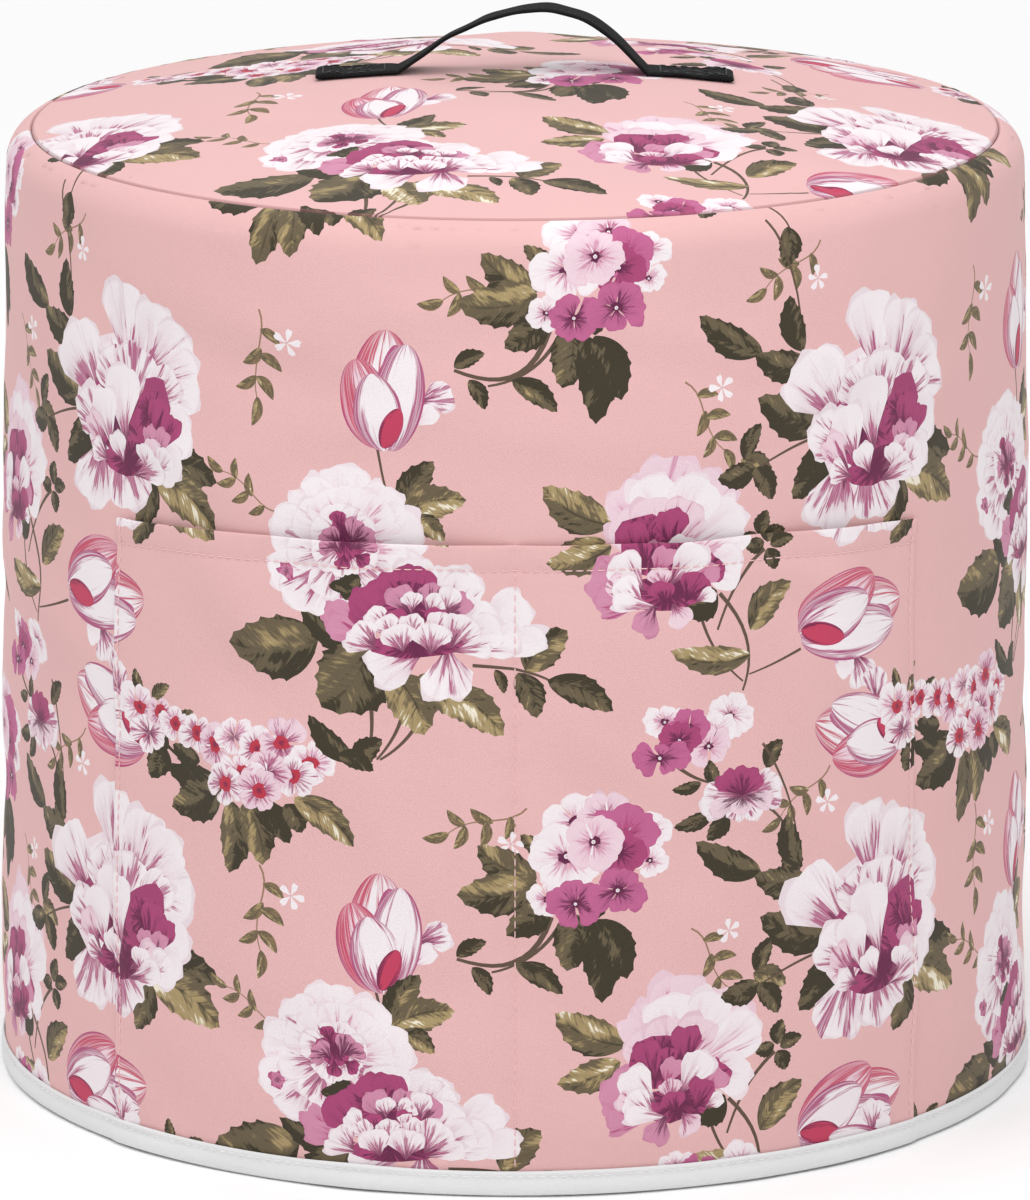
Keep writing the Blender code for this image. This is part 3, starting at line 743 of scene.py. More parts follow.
class Nodes:
    """Short hands for one material's nodes. An input is a Value, a number, or three of either."""

    def __init__(self, name, roughness=0.85, **settings):
        self.material = bpy.data.materials.new(name)
        self.material.use_nodes = True
        self.tree = self.material.node_tree
        self.shader = self.tree.nodes["Principled BSDF"]
        self.put(roughness, self.shader.inputs["Roughness"])
        for key, value in settings.items():
            self.put(value, self.shader.inputs[key.replace("_", " ")])

    def add(self, kind, inputs, output=0, **settings):
        node = self.tree.nodes.new(kind)
        for key, value in settings.items():
            setattr(node, key, value)
        for key, value in inputs.items():
            self.put(value, node.inputs[key])
        return Value(self, node.outputs[output])

    def put(self, value, socket):
        if isinstance(value, Value):
            self.tree.links.new(value.socket, socket)
        elif not isinstance(value, tuple):
            socket.default_value = value
        elif socket.type == "RGBA":
            socket.default_value = (*value, 1)
        else:
            self.put(self.add("ShaderNodeCombineXYZ", dict(enumerate(value))), socket)

    def math(self, operation, *values):
        return self.add("ShaderNodeMath", dict(enumerate(values)), operation=operation)

    def ramp(self, value, low, high):
        """0 at low, 1 at high and smooth between; high may be under low."""
        inputs = {"Value": value, "From Min": low, "From Max": high}
        return self.add("ShaderNodeMapRange", inputs, interpolation_type="SMOOTHSTEP")

    def mix(self, share, a, b):
        return self.add("ShaderNodeMix", {0: share, 6: a, 7: b}, 2, data_type="RGBA")

    def split(self, vector):
        """The three parts of a vector."""
        first = self.add("ShaderNodeSeparateXYZ", {0: vector})
        return [Value(self, output) for output in first.socket.node.outputs]

    def noise(self, vector, scale, detail=2.0, roughness=0.5):
        inputs = {"Vector": vector, "Scale": scale, "Detail": detail, "Roughness": roughness}
        return self.add("ShaderNodeTexNoise", inputs)

    def attribute(self, name, output="Vector"):
        return self.add("ShaderNodeAttribute", {}, output, attribute_name=name)

    def place(self):
        return self.add("ShaderNodeTexCoord", {}, "Object")

    def colour(self, value):
        self.put(value, self.shader.inputs["Base Color"])

    def bump(self, height, distance, strength):
        inputs = {"Height": height, "Distance": distance, "Strength": strength}
        self.put(self.add("ShaderNodeBump", inputs), self.shader.inputs["Normal"])


def petal_ink(n, x, y, seed, spread, reach, light, dark):
    """Brush strokes that run out of the root over a pale petal, with one side in soft shade."""
    turn = n.math("ARCTAN2", y, x) / spread
    radius = n.math("SQRT", x * x + y * y)
    height = radius / (1.0 - abs(turn) ** PETAL_POWER * PETAL_SHOULDER)
    arc = turn * spread
    coarse = n.noise((arc * 4.0, height, seed), 1.5, 1.0)
    fine = n.noise((arc * 15.0, height * 1.2, seed), 1.5, 2.0, 0.65)
    strokes = n.noise((arc * 46.0, height * 1.8, seed), 1.0, 1.0)
    ragged = (coarse - 0.5) * 2.2 + (fine - 0.5) * 1.8
    front = (ragged + 0.78) * reach
    ahead = front - height
    streak = n.ramp(ahead, -0.03, 0.05) * (n.ramp(strokes, 0.35, 0.6) * 0.4 + 0.6)
    wash = n.ramp(ahead, -0.35, 0.1)
    heart = n.ramp(front * 0.5 - height, -0.04, 0.06)
    shaded = n.ramp(turn + coarse * 0.9, 0.0, 1.6) * n.ramp(height, 1.1, 0.5) * 0.2
    side_line = n.ramp(abs(turn), 0.88, 0.97) * n.ramp(height, 0.85, 0.5) * n.ramp(fine, 0.4, 0.55)
    colour = n.mix(shaded, light, dark)
    for share in (wash * 0.24, side_line * 0.5, streak * 0.92):
        colour = n.mix(share, colour, dark)
    colour = n.mix(heart * 0.7, colour, PLUM)
    return n.mix(n.ramp(height, 0.95, 1.0) * 0.16, colour, dark)


def leaf_ink(n, x, y, seed, form, glow, light, dark):
    """Dark along one half and the edges, with brushed lights that fan out of the midrib on the other."""
    bend = n.math("FLOOR", form) / LEAF_BEND_STEPS
    half = n.math("FRACT", form)
    side = y - x * (1.0 - x) * bend * 4.0
    out = side / half
    slant = x * 4.0 - abs(out) * 1.1
    brush = n.noise((slant * 0.45, out * 0.9, seed), 1.5, 2.0, 0.6)
    hatch = n.noise((slant * 3.2, out * 0.9, seed), 1.6, 2.0, 0.65)
    level = brush * 0.85 + hatch * 0.55 - n.ramp(out, -0.35, 0.3) * 0.24
    level = level + (glow - 0.5) * 0.46 - n.ramp(abs(out), 0.6, 1.05) * 0.2
    rib = n.ramp(abs(side), 0.022, 0.006) * n.ramp(brush, 0.62, 0.42)
    colour = n.mix(n.ramp(level, 0.46, 0.56), dark, OLIVE)
    colour = n.mix(n.ramp(level, 0.68, 0.86), colour, light)
    colour = n.mix(n.ramp(level, 0.92, 1.02), colour, CREAM)
    return n.mix(rib * 0.7, colour, dark)


def tulip_ink(n, x, y, seed, half, reach, light, dark):
    """Long strokes that gather at the base and along both edges, and a thin dark rim."""
    egg = n.math("SQRT", n.math("MAXIMUM", n.math("SINE", x * math.pi), 0.01))
    out = y / (egg * half)
    lines = n.noise((out * 6.0, x * 1.2, seed), 1.0, 3.0, 0.65)
    fine = n.noise((out * 17.0, x * 1.5, seed), 1.0, 1.0)
    weight = abs(out + 0.12) ** 2.0 * 0.66 + (1.0 - x) ** 2.0 * 0.5 + x ** 6.0 * 0.35 + (lines - 0.5) * 1.7
    shade = n.ramp(weight, 1.0 - reach, 1.22 - reach)
    colour = n.mix(shade * (n.ramp(fine, 0.36, 0.6) * 0.5 + 0.45), light, dark)
    rim = n.ramp(abs(out), 0.86, 0.96) * n.ramp(lines, 0.36, 0.5) * 0.8
    return n.mix(rim, colour, MAGENTA)


def printed_colour(n):
    x, y, seed = n.split(n.attribute("ink_place"))
    style, spread, reach = n.split(n.attribute("ink_form"))
    light, dark = n.attribute("ink_light", "Color"), n.attribute("ink_dark", "Color")
    colour = light
    for number, paint in ((PETAL, petal_ink), (LEAF, leaf_ink), (TULIP, tulip_ink)):
        chosen = n.math("COMPARE", style, float(number), 0.4)
        colour = n.mix(chosen, colour, paint(n, x, y, seed, spread, reach, light, dark))
    return colour


def weave(n, s, v, pitch):
    """The height of a plain weave: threads that cross over and under at this pitch in metres."""
    turns = math.tau / pitch
    return n.math("SINE", s * turns) * n.math("SINE", v * turns)


def printed_material():
    n = Nodes("printed_cloth", 0.78, Sheen_Weight=0.08, Sheen_Roughness=0.5, Specular_IOR_Level=0.25)
    flat = n.attribute("cloth")
    s, v, _ = n.split(flat)
    blotch = n.noise(flat, 26.0, 3.0, 0.55)
    grain = n.noise(flat, 900.0, 2.0, 0.6)
    colour = printed_colour(n)
    worn = n.mix(0.05, colour, (0.25, 0.12, 0.13))
    colour = n.mix(n.ramp(blotch * 0.07 + grain * 0.07, 0.02, 0.12), worn, colour)
    # Painted shade: the cloth's colour is darkened to a deep pink in a thin band along the top seam's crease,
    # where shade falls.
    x, y, z = n.split(n.place())
    off_seam = abs(n.math("SQRT", x * x + y * y) - SEAM_RADIUS)
    groove = n.ramp(off_seam, 0.001, 0.0004) * n.ramp(z, SEAM_Z - 0.003, SEAM_Z) * 0.4
    n.colour(n.mix(groove, colour, (0.3, 0.12, 0.13)))
    thread = weave(n, s, v, PRINTED_PITCH)
    slub = n.noise((s * 320.0, v * 2400.0, 0.0), 1.0, 2.0)
    crumple = n.noise(flat, 120.0, 3.0, 0.5)
    n.bump(thread * 0.25 + slub * 0.5 + crumple * 1.6, 0.00012, 0.6)
    return n.material


def plain_cloth(name, light, dark, pitch, roughness, sheen=0.1, crumple=60.0):
    """An unprinted woven cloth, with faint blotches and slubs."""
    n = Nodes(name, roughness, Sheen_Weight=sheen)
    place = n.place()
    x, y, z = n.split(place)
    round_way = n.math("ARCTAN2", y, x) * S_RADIUS
    up = z - n.math("SQRT", x * x + y * y) * n.ramp(z, 0.285, 0.3)
    blotch = n.noise(place, 45.0, 3.0, 0.6)
    grain = n.noise(place, 1500.0, 2.0, 0.6)
    n.colour(n.mix(blotch * 0.7 + grain * 0.3, light, dark))
    rough = n.noise(place, crumple, 4.0, 0.55)
    n.bump(weave(n, round_way, up, pitch) * 0.35 + grain * 0.5 + rough * 2.2, 0.00014, 0.7)
    return n.material


def padding_material():
    n = Nodes("padding_batting", 0.95, Sheen_Weight=0.3)
    clumps = n.noise(n.place(), 90.0, 4.0, 0.7)
    fibres = n.noise(n.place(), 1100.0, 3.0, 0.7)
    n.colour(n.mix(clumps, (0.86, 0.84, 0.81), (0.74, 0.72, 0.69)))
    n.bump(clumps + fibres * 0.6, 0.0006, 0.8)
    return n.material


def webbing_material():
    """A twill that turns back on itself in narrow chevrons."""
    n = Nodes("black_webbing", 0.7, Specular_IOR_Level=0.12)
    along, across, _ = n.split(n.attribute("cloth"))
    zigzag = n.math("PINGPONG", across, CHEVRON)
    twill = n.math("SINE", (along + zigzag) * (math.tau / TWILL_PITCH))
    rib = n.math("SINE", across * (math.tau / RIB_PITCH))
    fuzz = n.noise((along, across, 0.0), 2600.0, 2.0, 0.6)
    tone = n.ramp(twill + fuzz * 1.4, -0.8, 1.9)
    n.colour(n.mix(tone, (0.002, 0.002, 0.0025), (0.009, 0.0085, 0.0095)))
    n.bump(twill * 0.5 + rib * 0.35 + fuzz * 0.5, 0.00016, 0.8)
    return n.material


def thread_material(name, light, dark):
    n = Nodes(name, 0.5, Sheen_Weight=0.2)
    ply = n.noise(n.place(), 4200.0, 1.0)
    n.colour(n.mix(ply, light, dark))
    n.bump(ply, 0.00005, 0.7)
    return n.material


# Thread pitches in metres.
PRINTED_PITCH, BINDING_PITCH, LINING_PITCH = 0.0009, 0.0006, 0.0008
TWILL_PITCH, RIB_PITCH, CHEVRON = 0.0012, 0.00075, 0.0015

# A material for each slot.
MATERIALS = {
    "printed_fabric": printed_material(),
    "binding": plain_cloth("white_bias_tape", (0.79, 0.795, 0.8), (0.71, 0.715, 0.72), BINDING_PITCH, 0.72),
    "lining": plain_cloth(
        "white_lining", (0.84, 0.82, 0.81), (0.76, 0.74, 0.73), LINING_PITCH, 0.6, sheen=0.05, crumple=35.0),
    "padding": padding_material(),
    "webbing": webbing_material(),
    "pink_thread": thread_material("pink_thread_ply", srgb(240, 204, 204), srgb(226, 176, 178)),
    "white_thread": thread_material("white_thread_ply", (0.9, 0.9, 0.9), (0.74, 0.74, 0.75)),
    "black_thread": thread_material("black_thread_ply", (0.012, 0.012, 0.013), (0.004, 0.004, 0.0045)),
}


# ---- Cutting printed cloth --------------------------------------------------------------------

def shifted(shape, dx, dy):
    outline, (x, y, angle, length), *style = shape
    return [(px + dx, py + dy) for px, py in outline], (x + dx, y + dy, angle, length), *style


def touches(outline, box):
    xs, ys = zip(*outline)
    return max(xs) > box[0] and min(xs) < box[1] and max(ys) > box[2] and min(ys) < box[3]


def tiled(box, start):
    """The repeat laid over a box (x from, x to, y from, y to) in millimetres, the bottom rows last."""
    laid = []
    for row in range(2, -3, -1):
        for column in range(-3, 4):
            for shape in SHAPES:
                moved = shifted(shape, column * REPEAT[0] + start[0], row * REPEAT[1] + start[1])
                if touches(moved[0], box):
                    laid.append(moved)
    return laid


def counter_clockwise(outline):
    area = sum(a[0] * b[1] - b[0] * a[1] for a, b in zip(outline, outline[1:] + outline[:1]))
    return outline if area > 0 else outline[::-1]


def within(points, border):
    """Which points are inside a convex border."""
    keep = np.ones(len(points), bool)
    for a, b in zip(border, np.roll(border, -1, 0)):
        keep &= (b[0] - a[0]) * (points[:, 1] - a[1]) - (b[1] - a[1]) * (points[:, 0] - a[0]) > -1e-6
    return keep


def cut_cloth(shapes, lines, loops, cell):
    """Cuts flat cloth along the print, in millimetres. The first lines are closed, as many as loops.

    The very first is the cloth's border, the rest are creases and edges to keep. Gives the points,
    the triangles inside the border, and which shape is on top in each, -1 for bare ground.
    """
    points, faces, edges = [], [], []
    for outline, *_ in shapes:
        ring = counter_clockwise(outline)
        faces.append(list(range(len(points), len(points) + len(ring))))
        points += ring
    for number, line in enumerate(lines):
        first, last = len(points), len(points) + len(line) - 1
        points += line
        edges += [(i, i + 1) for i in range(first, last)] + ([(last, first)] if number < loops else [])
    border = np.array(lines[0])
    low, high = border.min(0), border.max(0)
    counts = np.maximum(np.round((high - low) / cell).astype(int), 1)
    for i in range(1, counts[0]):
        for j in range(1, counts[1]):
            points.append(tuple(low + (high - low) * (i / counts[0], j / counts[1])))
    cut = mathutils.geometry.delaunay_2d_cdt([Vector(p) for p in points], edges, faces, 0, 1e-4, True)
    spots = np.array([tuple(point) for point in cut[0]])
    middles = np.array([spots[list(tri)].mean(0) for tri in cut[2]])
    triangles, tops = [], []
    for tri, source, keep in zip(cut[2], cut[5], within(middles, border)):
        if keep:
            triangles.append(tuple(tri))
            tops.append(max(source) if source else -1)
    return spots, triangles, tops


def ink(mesh, spots, triangles, tops, shapes):
    """Stores on every corner its place in its shape, and the shape's form and two colours."""
    poses = np.array([shape[1] for shape in shapes] + [(0, 0, 0, 1)])
    forms = np.array([shape[2] for shape in shapes] + [(PLAIN, 1, 0)])
    lights, darks = (np.array([(*shape[k], 1) for shape in shapes] + [(*GROUND, 1)]) for k in (3, 4))
    corners, top = triangles.reshape(-1), np.repeat(tops, 3)
    away = spots[corners] - poses[top, :2]
    turn, length = poses[top, 2], poses[top, 3]
    along = (away[:, 0] * np.cos(turn) + away[:, 1] * np.sin(turn)) / length
    across = (away[:, 1] * np.cos(turn) - away[:, 0] * np.sin(turn)) / length
    place = np.column_stack([along, across, (top % SEEDS) * SEED_STEP])
    flat = np.column_stack([spots[corners] * MM, top >= 0])
    for name, values in (("ink_place", place), ("ink_form", forms[top]), ("cloth", flat)):
        store(mesh, name, "FLOAT_VECTOR", "CORNER", "vector", values)
    for name, values in (("ink_light", lights[top]), ("ink_dark", darks[top])):
        store(mesh, name, "FLOAT_COLOR", "CORNER", "color", values)


def store(mesh, name, kind, domain, field, values):
    layer = mesh.attributes.new(name, kind, domain)
    layer.data.foreach_set(field, np.asarray(values, np.float32).reshape(-1))


# ---- Meshes -----------------------------------------------------------------------------------

def new_object(name, points, faces):
    mesh = bpy.data.meshes.new(name)
    mesh.from_pydata(np.asarray(points).reshape(-1, 3).tolist(), [], faces)
    obj = bpy.data.objects.new(name, mesh)
    bpy.context.scene.collection.objects.link(obj)
    return obj


def finished(piece, slot, *nodes):
    """Smooths a piece, gives it its material's slot and hides the CAD nodes that it stands in for."""
    piece.data.shade_smooth()
    piece.data.materials.append(MATERIALS[slot])
    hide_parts(*nodes)
    return piece


def grid_faces(columns, rows, ring=False, tube=False, flip=False):
    """Quads over rows of points. ring joins the last column to the first, tube the last row as well."""
    faces = []
    for j in range(rows if tube else rows - 1):
        here, above = j * columns, (j + 1) % rows * columns
        for i in range(columns if ring else columns - 1):
            k = (i + 1) % columns
            face = (here + i, here + k, above + k, above + i)
            faces.append(face[::-1] if flip else face)
    return faces


def capped_faces(columns, rows, flip=False):
    """A closed rod: rings of points and a face over each end."""
    faces = [tuple(range(columns))[::-1], tuple(range((rows - 1) * columns, rows * columns))]
    faces += grid_faces(columns, rows, ring=True)
    return [face[::-1] for face in faces] if flip else faces


def printed_piece(name, node, box, start, lines, loops, shape_of, cell):
    """A printed cloth: cut flat, then laid where shape_of(x, y) puts its metres of cloth."""
    shapes = tiled(box, start)
    spots, triangles, tops = cut_cloth(shapes, lines, loops, cell)
    used, triangles = np.unique(np.array(triangles), return_inverse=True)
    spots, triangles = spots[used], triangles.reshape(-1, 3)
    piece = new_object(name, shape_of(*(spots * MM).T), triangles.tolist())
    ink(piece.data, spots, triangles, np.array(tops), shapes)
    piece.data.validate()
    return finished(piece, "printed_fabric", node)


def round_piece(name, node, slot, columns, rows, shape_of, flip=False):
    """A tube bent round the wall. shape_of(s, row) gives its points, row by row of its section."""
    s, row = np.meshgrid(rings(columns), np.arange(rows))
    faces = grid_faces(columns, rows, ring=True, tube=True, flip=flip)
    return finished(new_object(name, shape_of(s, row), faces), slot, node)


def rings(count):
    """Evenly spaced places round the wall."""
    return np.linspace(-HALF_ROUND, HALF_ROUND, count, endpoint=False)


def row_of(start, end, v, step=5.0):
    """Points along a level line, about a step apart."""
    count = max(2, round(abs(end - start) / step))
    return [(start + (end - start) * i / count, v) for i in range(count + 1)]


def column_of(s, start, end, step=5.0):
    return [(y, x) for x, y in row_of(start, end, s, step)]


def columns_of(s, low, high, step=5.0):
    """Two upright lines, on the left and on the right."""
    return [column_of(side * s, low + NIP, high - NIP, step) for side in (-1, 1)]


def rectangle(outer, low, high, step=5.0):
    return (row_of(-outer, outer, low, step)[:-1] + column_of(outer, low, high, step)[:-1]
            + row_of(outer, -outer, high, step)[:-1] + column_of(-outer, high, low, step)[:-1])


def circle(radius, count=300):
    turns = [math.tau * i / count for i in range(count)]
    return [(radius * math.cos(turn), radius * math.sin(turn)) for turn in turns]


# ---- Printed pieces. Lines kept in their meshes are in millimetres ----------------------------

# How far short of the border the inner lines stop.
NIP = 0.01


def make_wall():
    edge = HALF_ROUND / MM
    low, high = LAYER_BOTTOM / MM, WALL_END_V / MM
    box = (-edge, edge, low, high)
    shoulder, shoulder_end = SHOULDER_Z / MM, SHOULDER_END_V / MM
    heights = [4.0, *np.linspace(shoulder, shoulder_end, 7), *np.linspace(shoulder_end + 0.35, high - 0.3, 5)]
    lines = [rectangle(edge, low, high)] + [row_of(-edge + NIP, edge - NIP, v) for v in heights]
    for near_edge in (1.0, 2.2, 3.6):
        lines += columns_of(edge - near_edge, low, high)

    def shape(s, v):
        return on_wall(s, v, wall_relief(s, v))

    return printed_piece("wall_cloth", "wall_panel", box, (0, 0), lines, 1, shape, 6.0)


def make_top():
    rim = (TOP_ROLL_START + ROLL_RADIUS * 1.2) / MM
    box = (-rim, rim, -rim, rim)
    lines = [circle(rim - inwards) for inwards in (0, 0.4, 0.8, 1.3, 2.2, 4, 7)]

    def shape(x, y):
        return on_top(x, y, top_relief(x, y))

    return printed_piece("top_cloth", "top_panel", box, TOP_START, lines, len(lines), shape, 5.0)


def make_pocket():
    fold = math.pi * FOLD_RADIUS / MM
    edge, top = POCKET_HALF_WIDTH / MM, POCKET_TOP / MM
    outer = edge + fold + SIDE_HEM / MM
    low, high = LAYER_BOTTOM / MM, top + fold + POCKET_HEM / MM
    stitches = edge - SIDE_STITCH_INSET / MM
    lines = [rectangle(outer, low, high, 4.0)]
    for extra in (-1.2, 0, 0.35, 0.7, fold):
        lines.append(row_of(-outer + NIP, outer - NIP, top + extra, 4.0))
        lines += columns_of(edge + extra, low, high, 4.0)
    for beside in (-1.1, 0, 1.1):
        lines.append(row_of(-outer + NIP, outer - NIP, top + (beside - POCKET_HEM / MM), 2.5))
    for beside in (-2.2, -1.1, 0, 1.1, 2.2):
        lines.append(column_of(beside, low + NIP, high - NIP, 2.5))
    for beside in (-0.9, 0, 0.8):
        lines += columns_of(stitches + beside, low, high, 2.5)
    box = (-outer, outer, low, high)
    return printed_piece("pocket_cloth", "pocket_panel", box, POCKET_START, lines, 1, on_pocket, 5.0)


# ---- Layers, binding and tapes ----------------------------------------------------------------

def wall_layer(name, node, slot, depth, thickness, relief, columns, rows):
    """A closed tube under the wall's cloth, between two depths."""
    up = np.linspace(LAYER_BOTTOM, SHOULDER_END_V, rows)
    heights = np.concatenate([up, up[::-1]])
    depths = np.repeat([depth, depth + thickness], rows)

    def shape(s, row):
        return on_wall(s, heights[row], relief(s, heights[row]) - depths[row])

    return round_piece(name, node, slot, columns, 2 * rows, shape)


def lining_relief(s, v):
    """The lining follows the wall softly and has small folds of its own."""
    own = np.minimum(0.0005 * BROAD(s * 1.7 + 0.1, v * 1.7) + 0.00018 * FINE(s + 0.2, v), 0.0001)
    free = smooth_step(v, 0.006, 0.03) * smooth_step(v, WALL_END_V - 0.004, WALL_END_V - 0.03)
    return wall_relief(s, v) + free * own


def disc_layer(name, node, slot, depth, thickness, rim, columns, rows):
    """A closed disc under the top cloth, between two depths."""
    radii = rim * np.sqrt(np.linspace(0.0008, 1, rows))
    radius = np.concatenate([radii, radii[::-1]])[:, None]
    depths = np.repeat([depth, depth + thickness], rows)[:, None]
    turns = np.linspace(0, math.tau, columns, endpoint=False)
    x, y = radius * np.cos(turns), radius * np.sin(turns)
    points = on_top(x, y, top_relief(x, y) - depths)
    return finished(new_object(name, points, capped_faces(columns, 2 * rows)), slot, node)


def over_pocket(s):
    """1 where the binding lies over the pocket, 0 beside it."""
    return smooth_step(np.abs(s), POCKET_HALF_WIDTH + 0.004, POCKET_HALF_WIDTH - 0.002)


def binding_outline(s):
    """The binding's section at each s, as (offset from the wall, height) round a soft U."""
    outer = BINDING_OUT + POCKET_STEP * over_pocket(s)
    inner = BINDING_IN
    wobble = 0.00016 * FINE(s * 0.7, 0.11) + 0.00012 * BROAD(s * 2, 0.2)
    top = BINDING_HEIGHT + 0.35 * wobble
    pull = 0.00012 * np.cos(math.tau * s / 0.0031 + 2 * FINE(s, 0.3))
    return [
        (outer - 0.0009, top - 0.0008), (outer - 0.0007, top - 0.0001), (outer - 0.0003, top + 0.0001),
        (outer + wobble * 0.3, top - 0.0004), (outer + 0.0001 + wobble * 0.4, top - 0.0011),
        (outer - BINDING_DIMPLE + pull, BINDING_STITCH_Z),
        (outer + 0.0002 + wobble, 0.0046), (outer + 0.00045 + wobble, 0.0032),
        (outer + 0.00035 + wobble, 0.0017), (outer - 0.0001 + wobble, 0.0006),
        (outer - 0.0009, 0.00012), (outer - 0.002, 0.0), (inner + 0.002, 0.0), (inner + 0.0009, 0.00015),
        (inner + 0.0001, 0.0007), (inner - 0.0002 - wobble, 0.0028),
        (inner + 0.0001 + pull, BINDING_STITCH_Z),
        (inner - wobble * 0.5, top - 0.0008), (inner + 0.0004, top), (inner + 0.0009, top - 0.0003),
        (inner + 0.0011, top - 0.0012), (inner + 0.0011, 0.0016), (outer - 0.0011, 0.0016),
    ]


def make_binding():
    """White bias tape folded round the bottom edge of every layer."""
    columns = 900
    outline = binding_outline(rings(columns))
    lifts, heights = (np.array([np.broadcast_to(point[k], columns) for point in outline]) for k in (0, 1))
    radii = WALL_BOTTOM_RADIUS - (WALL_BOTTOM_RADIUS - WALL_TOP_RADIUS) * heights / SHOULDER_Z + lifts

    def shape(s, row):
        return turned(radii, FRONT + s / S_RADIUS, heights)

    return round_piece("hem_bias_tape", "hem_binding", "binding", columns, len(outline), shape, flip=True)


def make_tapes():
    """The white tapes that cover the raw edges inside."""
    outline = np.array([
        (0.14885, 0.2946), (0.1488, 0.2856), (0.1482, 0.2852), (0.14685, 0.2857), (0.1467, 0.2872),
        (0.14695, 0.2901), (0.1467, 0.2932), (0.147, 0.2947), (0.1479, 0.2951),
    ])

    def shape(s, row):
        radius, height = outline[row, 0], outline[row, 1]
        ripple = (radius < 0.1483) * 0.00018 * FINE(s, height)
        return turned(radius - ripple, FRONT + s / S_RADIUS, height)

    ring = round_piece("top_tape", "top_seam_tape", "binding", 420, len(outline), shape)
    across = np.linspace(-0.006, 0.006, 13)
    up = np.linspace(BINDING_HEIGHT + 0.0003, SHOULDER_Z - 0.0006, 120)
    x, v = np.meshgrid(across, up)
    crown = 0.0006 + 0.0007 * np.clip(1 - (x / 0.0061) ** 4, 0, 1) + 0.00008 * FINE(x, v)
    points = on_wall(HALF_ROUND + x, v, -TAPE_DEPTH - crown)
    strip = new_object("back_tape", points, grid_faces(len(across), len(up), flip=True))
    return ring, finished(strip, "binding", "back_seam_tape")


# ---- Stitches ---------------------------------------------------------------------------------

def travelled(path):
    """How far along the path each of its points lies."""
    return np.concatenate([[0], np.cumsum(np.linalg.norm(np.diff(path, axis=0), axis=1))])


def sampled(at, travel, path):
    return np.stack([np.interp(at, travel, column) for column in path.T], -1)


def unit(vectors):
    return vectors / np.linalg.norm(vectors, axis=1)[:, None]


def outwards(points):
    return unit(points * (1, 1, 0))


def stitch_row(name, node, slot, measures, path, out=None):
    """A row of separate stitches along a path. Each rises out of the cloth and dives back into it."""
    length, gap, radius = measures
    out = outwards(path) if out is None else out
    travel = travelled(path)
    count = max(1, int(travel[-1] / (length + gap)))
    pitch = travel[-1] / count
    stations, sides = np.linspace(0, 1, 7), 6
    turns = math.tau * np.arange(sides) / sides
    arch = np.sin(math.pi * stations) ** 0.5
    rise = radius * (1.3 * arch - 0.3)
    girth = radius * (0.45 + 0.55 * arch)
    rod = capped_faces(sides, len(stations))
    points, faces = [], []
    for number in range(count):
        at = number * pitch + gap / 2 + stations * (pitch - gap)
        middle = sampled(at, travel, path)
        up = unit(sampled(at, travel, out))
        side = np.cross(unit(np.gradient(middle, axis=0)), up)
        ring = side[:, None] * np.cos(turns)[:, None] + up[:, None] * np.sin(turns)[:, None]
        points.append((middle + up * rise[:, None])[:, None] + ring * girth[:, None, None])
        first = number * sides * len(stations)
        faces += [tuple(first + corner for corner in face) for face in rod]
    return finished(new_object(name, points, faces), slot, node)


def pocket_row(name, node, s, v):
    return stitch_row(name, node, "pink_thread", CLOTH_STITCH, on_pocket(*np.broadcast_arrays(s, v)))


def make_pocket_stitches():
    """The pocket's hem, its dividing row and its two sides."""
    hem, side = POCKET_TOP - POCKET_HEM, POCKET_HALF_WIDTH - SIDE_STITCH_INSET
    low = BINDING_HEIGHT + 0.0008
    across = np.linspace(-side, side, 500)
    middle = np.linspace(low, hem - 0.0004, 400)
    up = np.linspace(low, POCKET_TOP - 0.0012, 400)
    return [
        pocket_row("pocket_hem_stitches", "pocket_hem_stitch", across, hem),
        pocket_row("pocket_centre_stitches", "pocket_centre_stitch", 0.0, middle),
        pocket_row("pocket_left_stitches", "pocket_left_stitch", -side, up),
        pocket_row("pocket_right_stitches", "pocket_right_stitch", side, up),
    ]


def make_wall_stitches():
    """The binding's stitches and the back seam's, and the row that holds the tape inside the top seam."""
    s = np.linspace(-HALF_ROUND, HALF_ROUND, 1500)
    radius = WALL_BOTTOM_RADIUS - 0.0001 + BINDING_OUT - BINDING_DIMPLE + POCKET_STEP * over_pocket(s)
    path = turned(radius, FRONT + s / S_RADIUS, BINDING_STITCH_Z)
    binding = stitch_row("binding_stitches", "binding_stitch", "white_thread", BINDING_STITCH, path)
    v = np.linspace(BINDING_HEIGHT + 0.001, SHOULDER_END_V - 0.002, 600)
    beside = np.full(len(v), HALF_ROUND - 0.0026)
    path = on_wall(beside, v, wall_relief(beside, v) + 0.00002)
    back = stitch_row("back_seam_stitches", "back_seam_stitch", "pink_thread", CLOTH_STITCH, path)
    path = turned(0.14665, np.linspace(0, math.tau, 1200), 0.2901)
    inwards = -outwards(path)
    tape = stitch_row("top_tape_stitches", "top_seam_stitch", "white_thread", TAPE_STITCH, path, inwards)
    return binding, back, tape


# ---- The strap --------------------------------------------------------------------------------

def sewn_spot(x):
    """A place of the webbing's underside where it is sewn flat, as (x, z)."""
    return x, dome_z(abs(x)) + STRAP_GAP


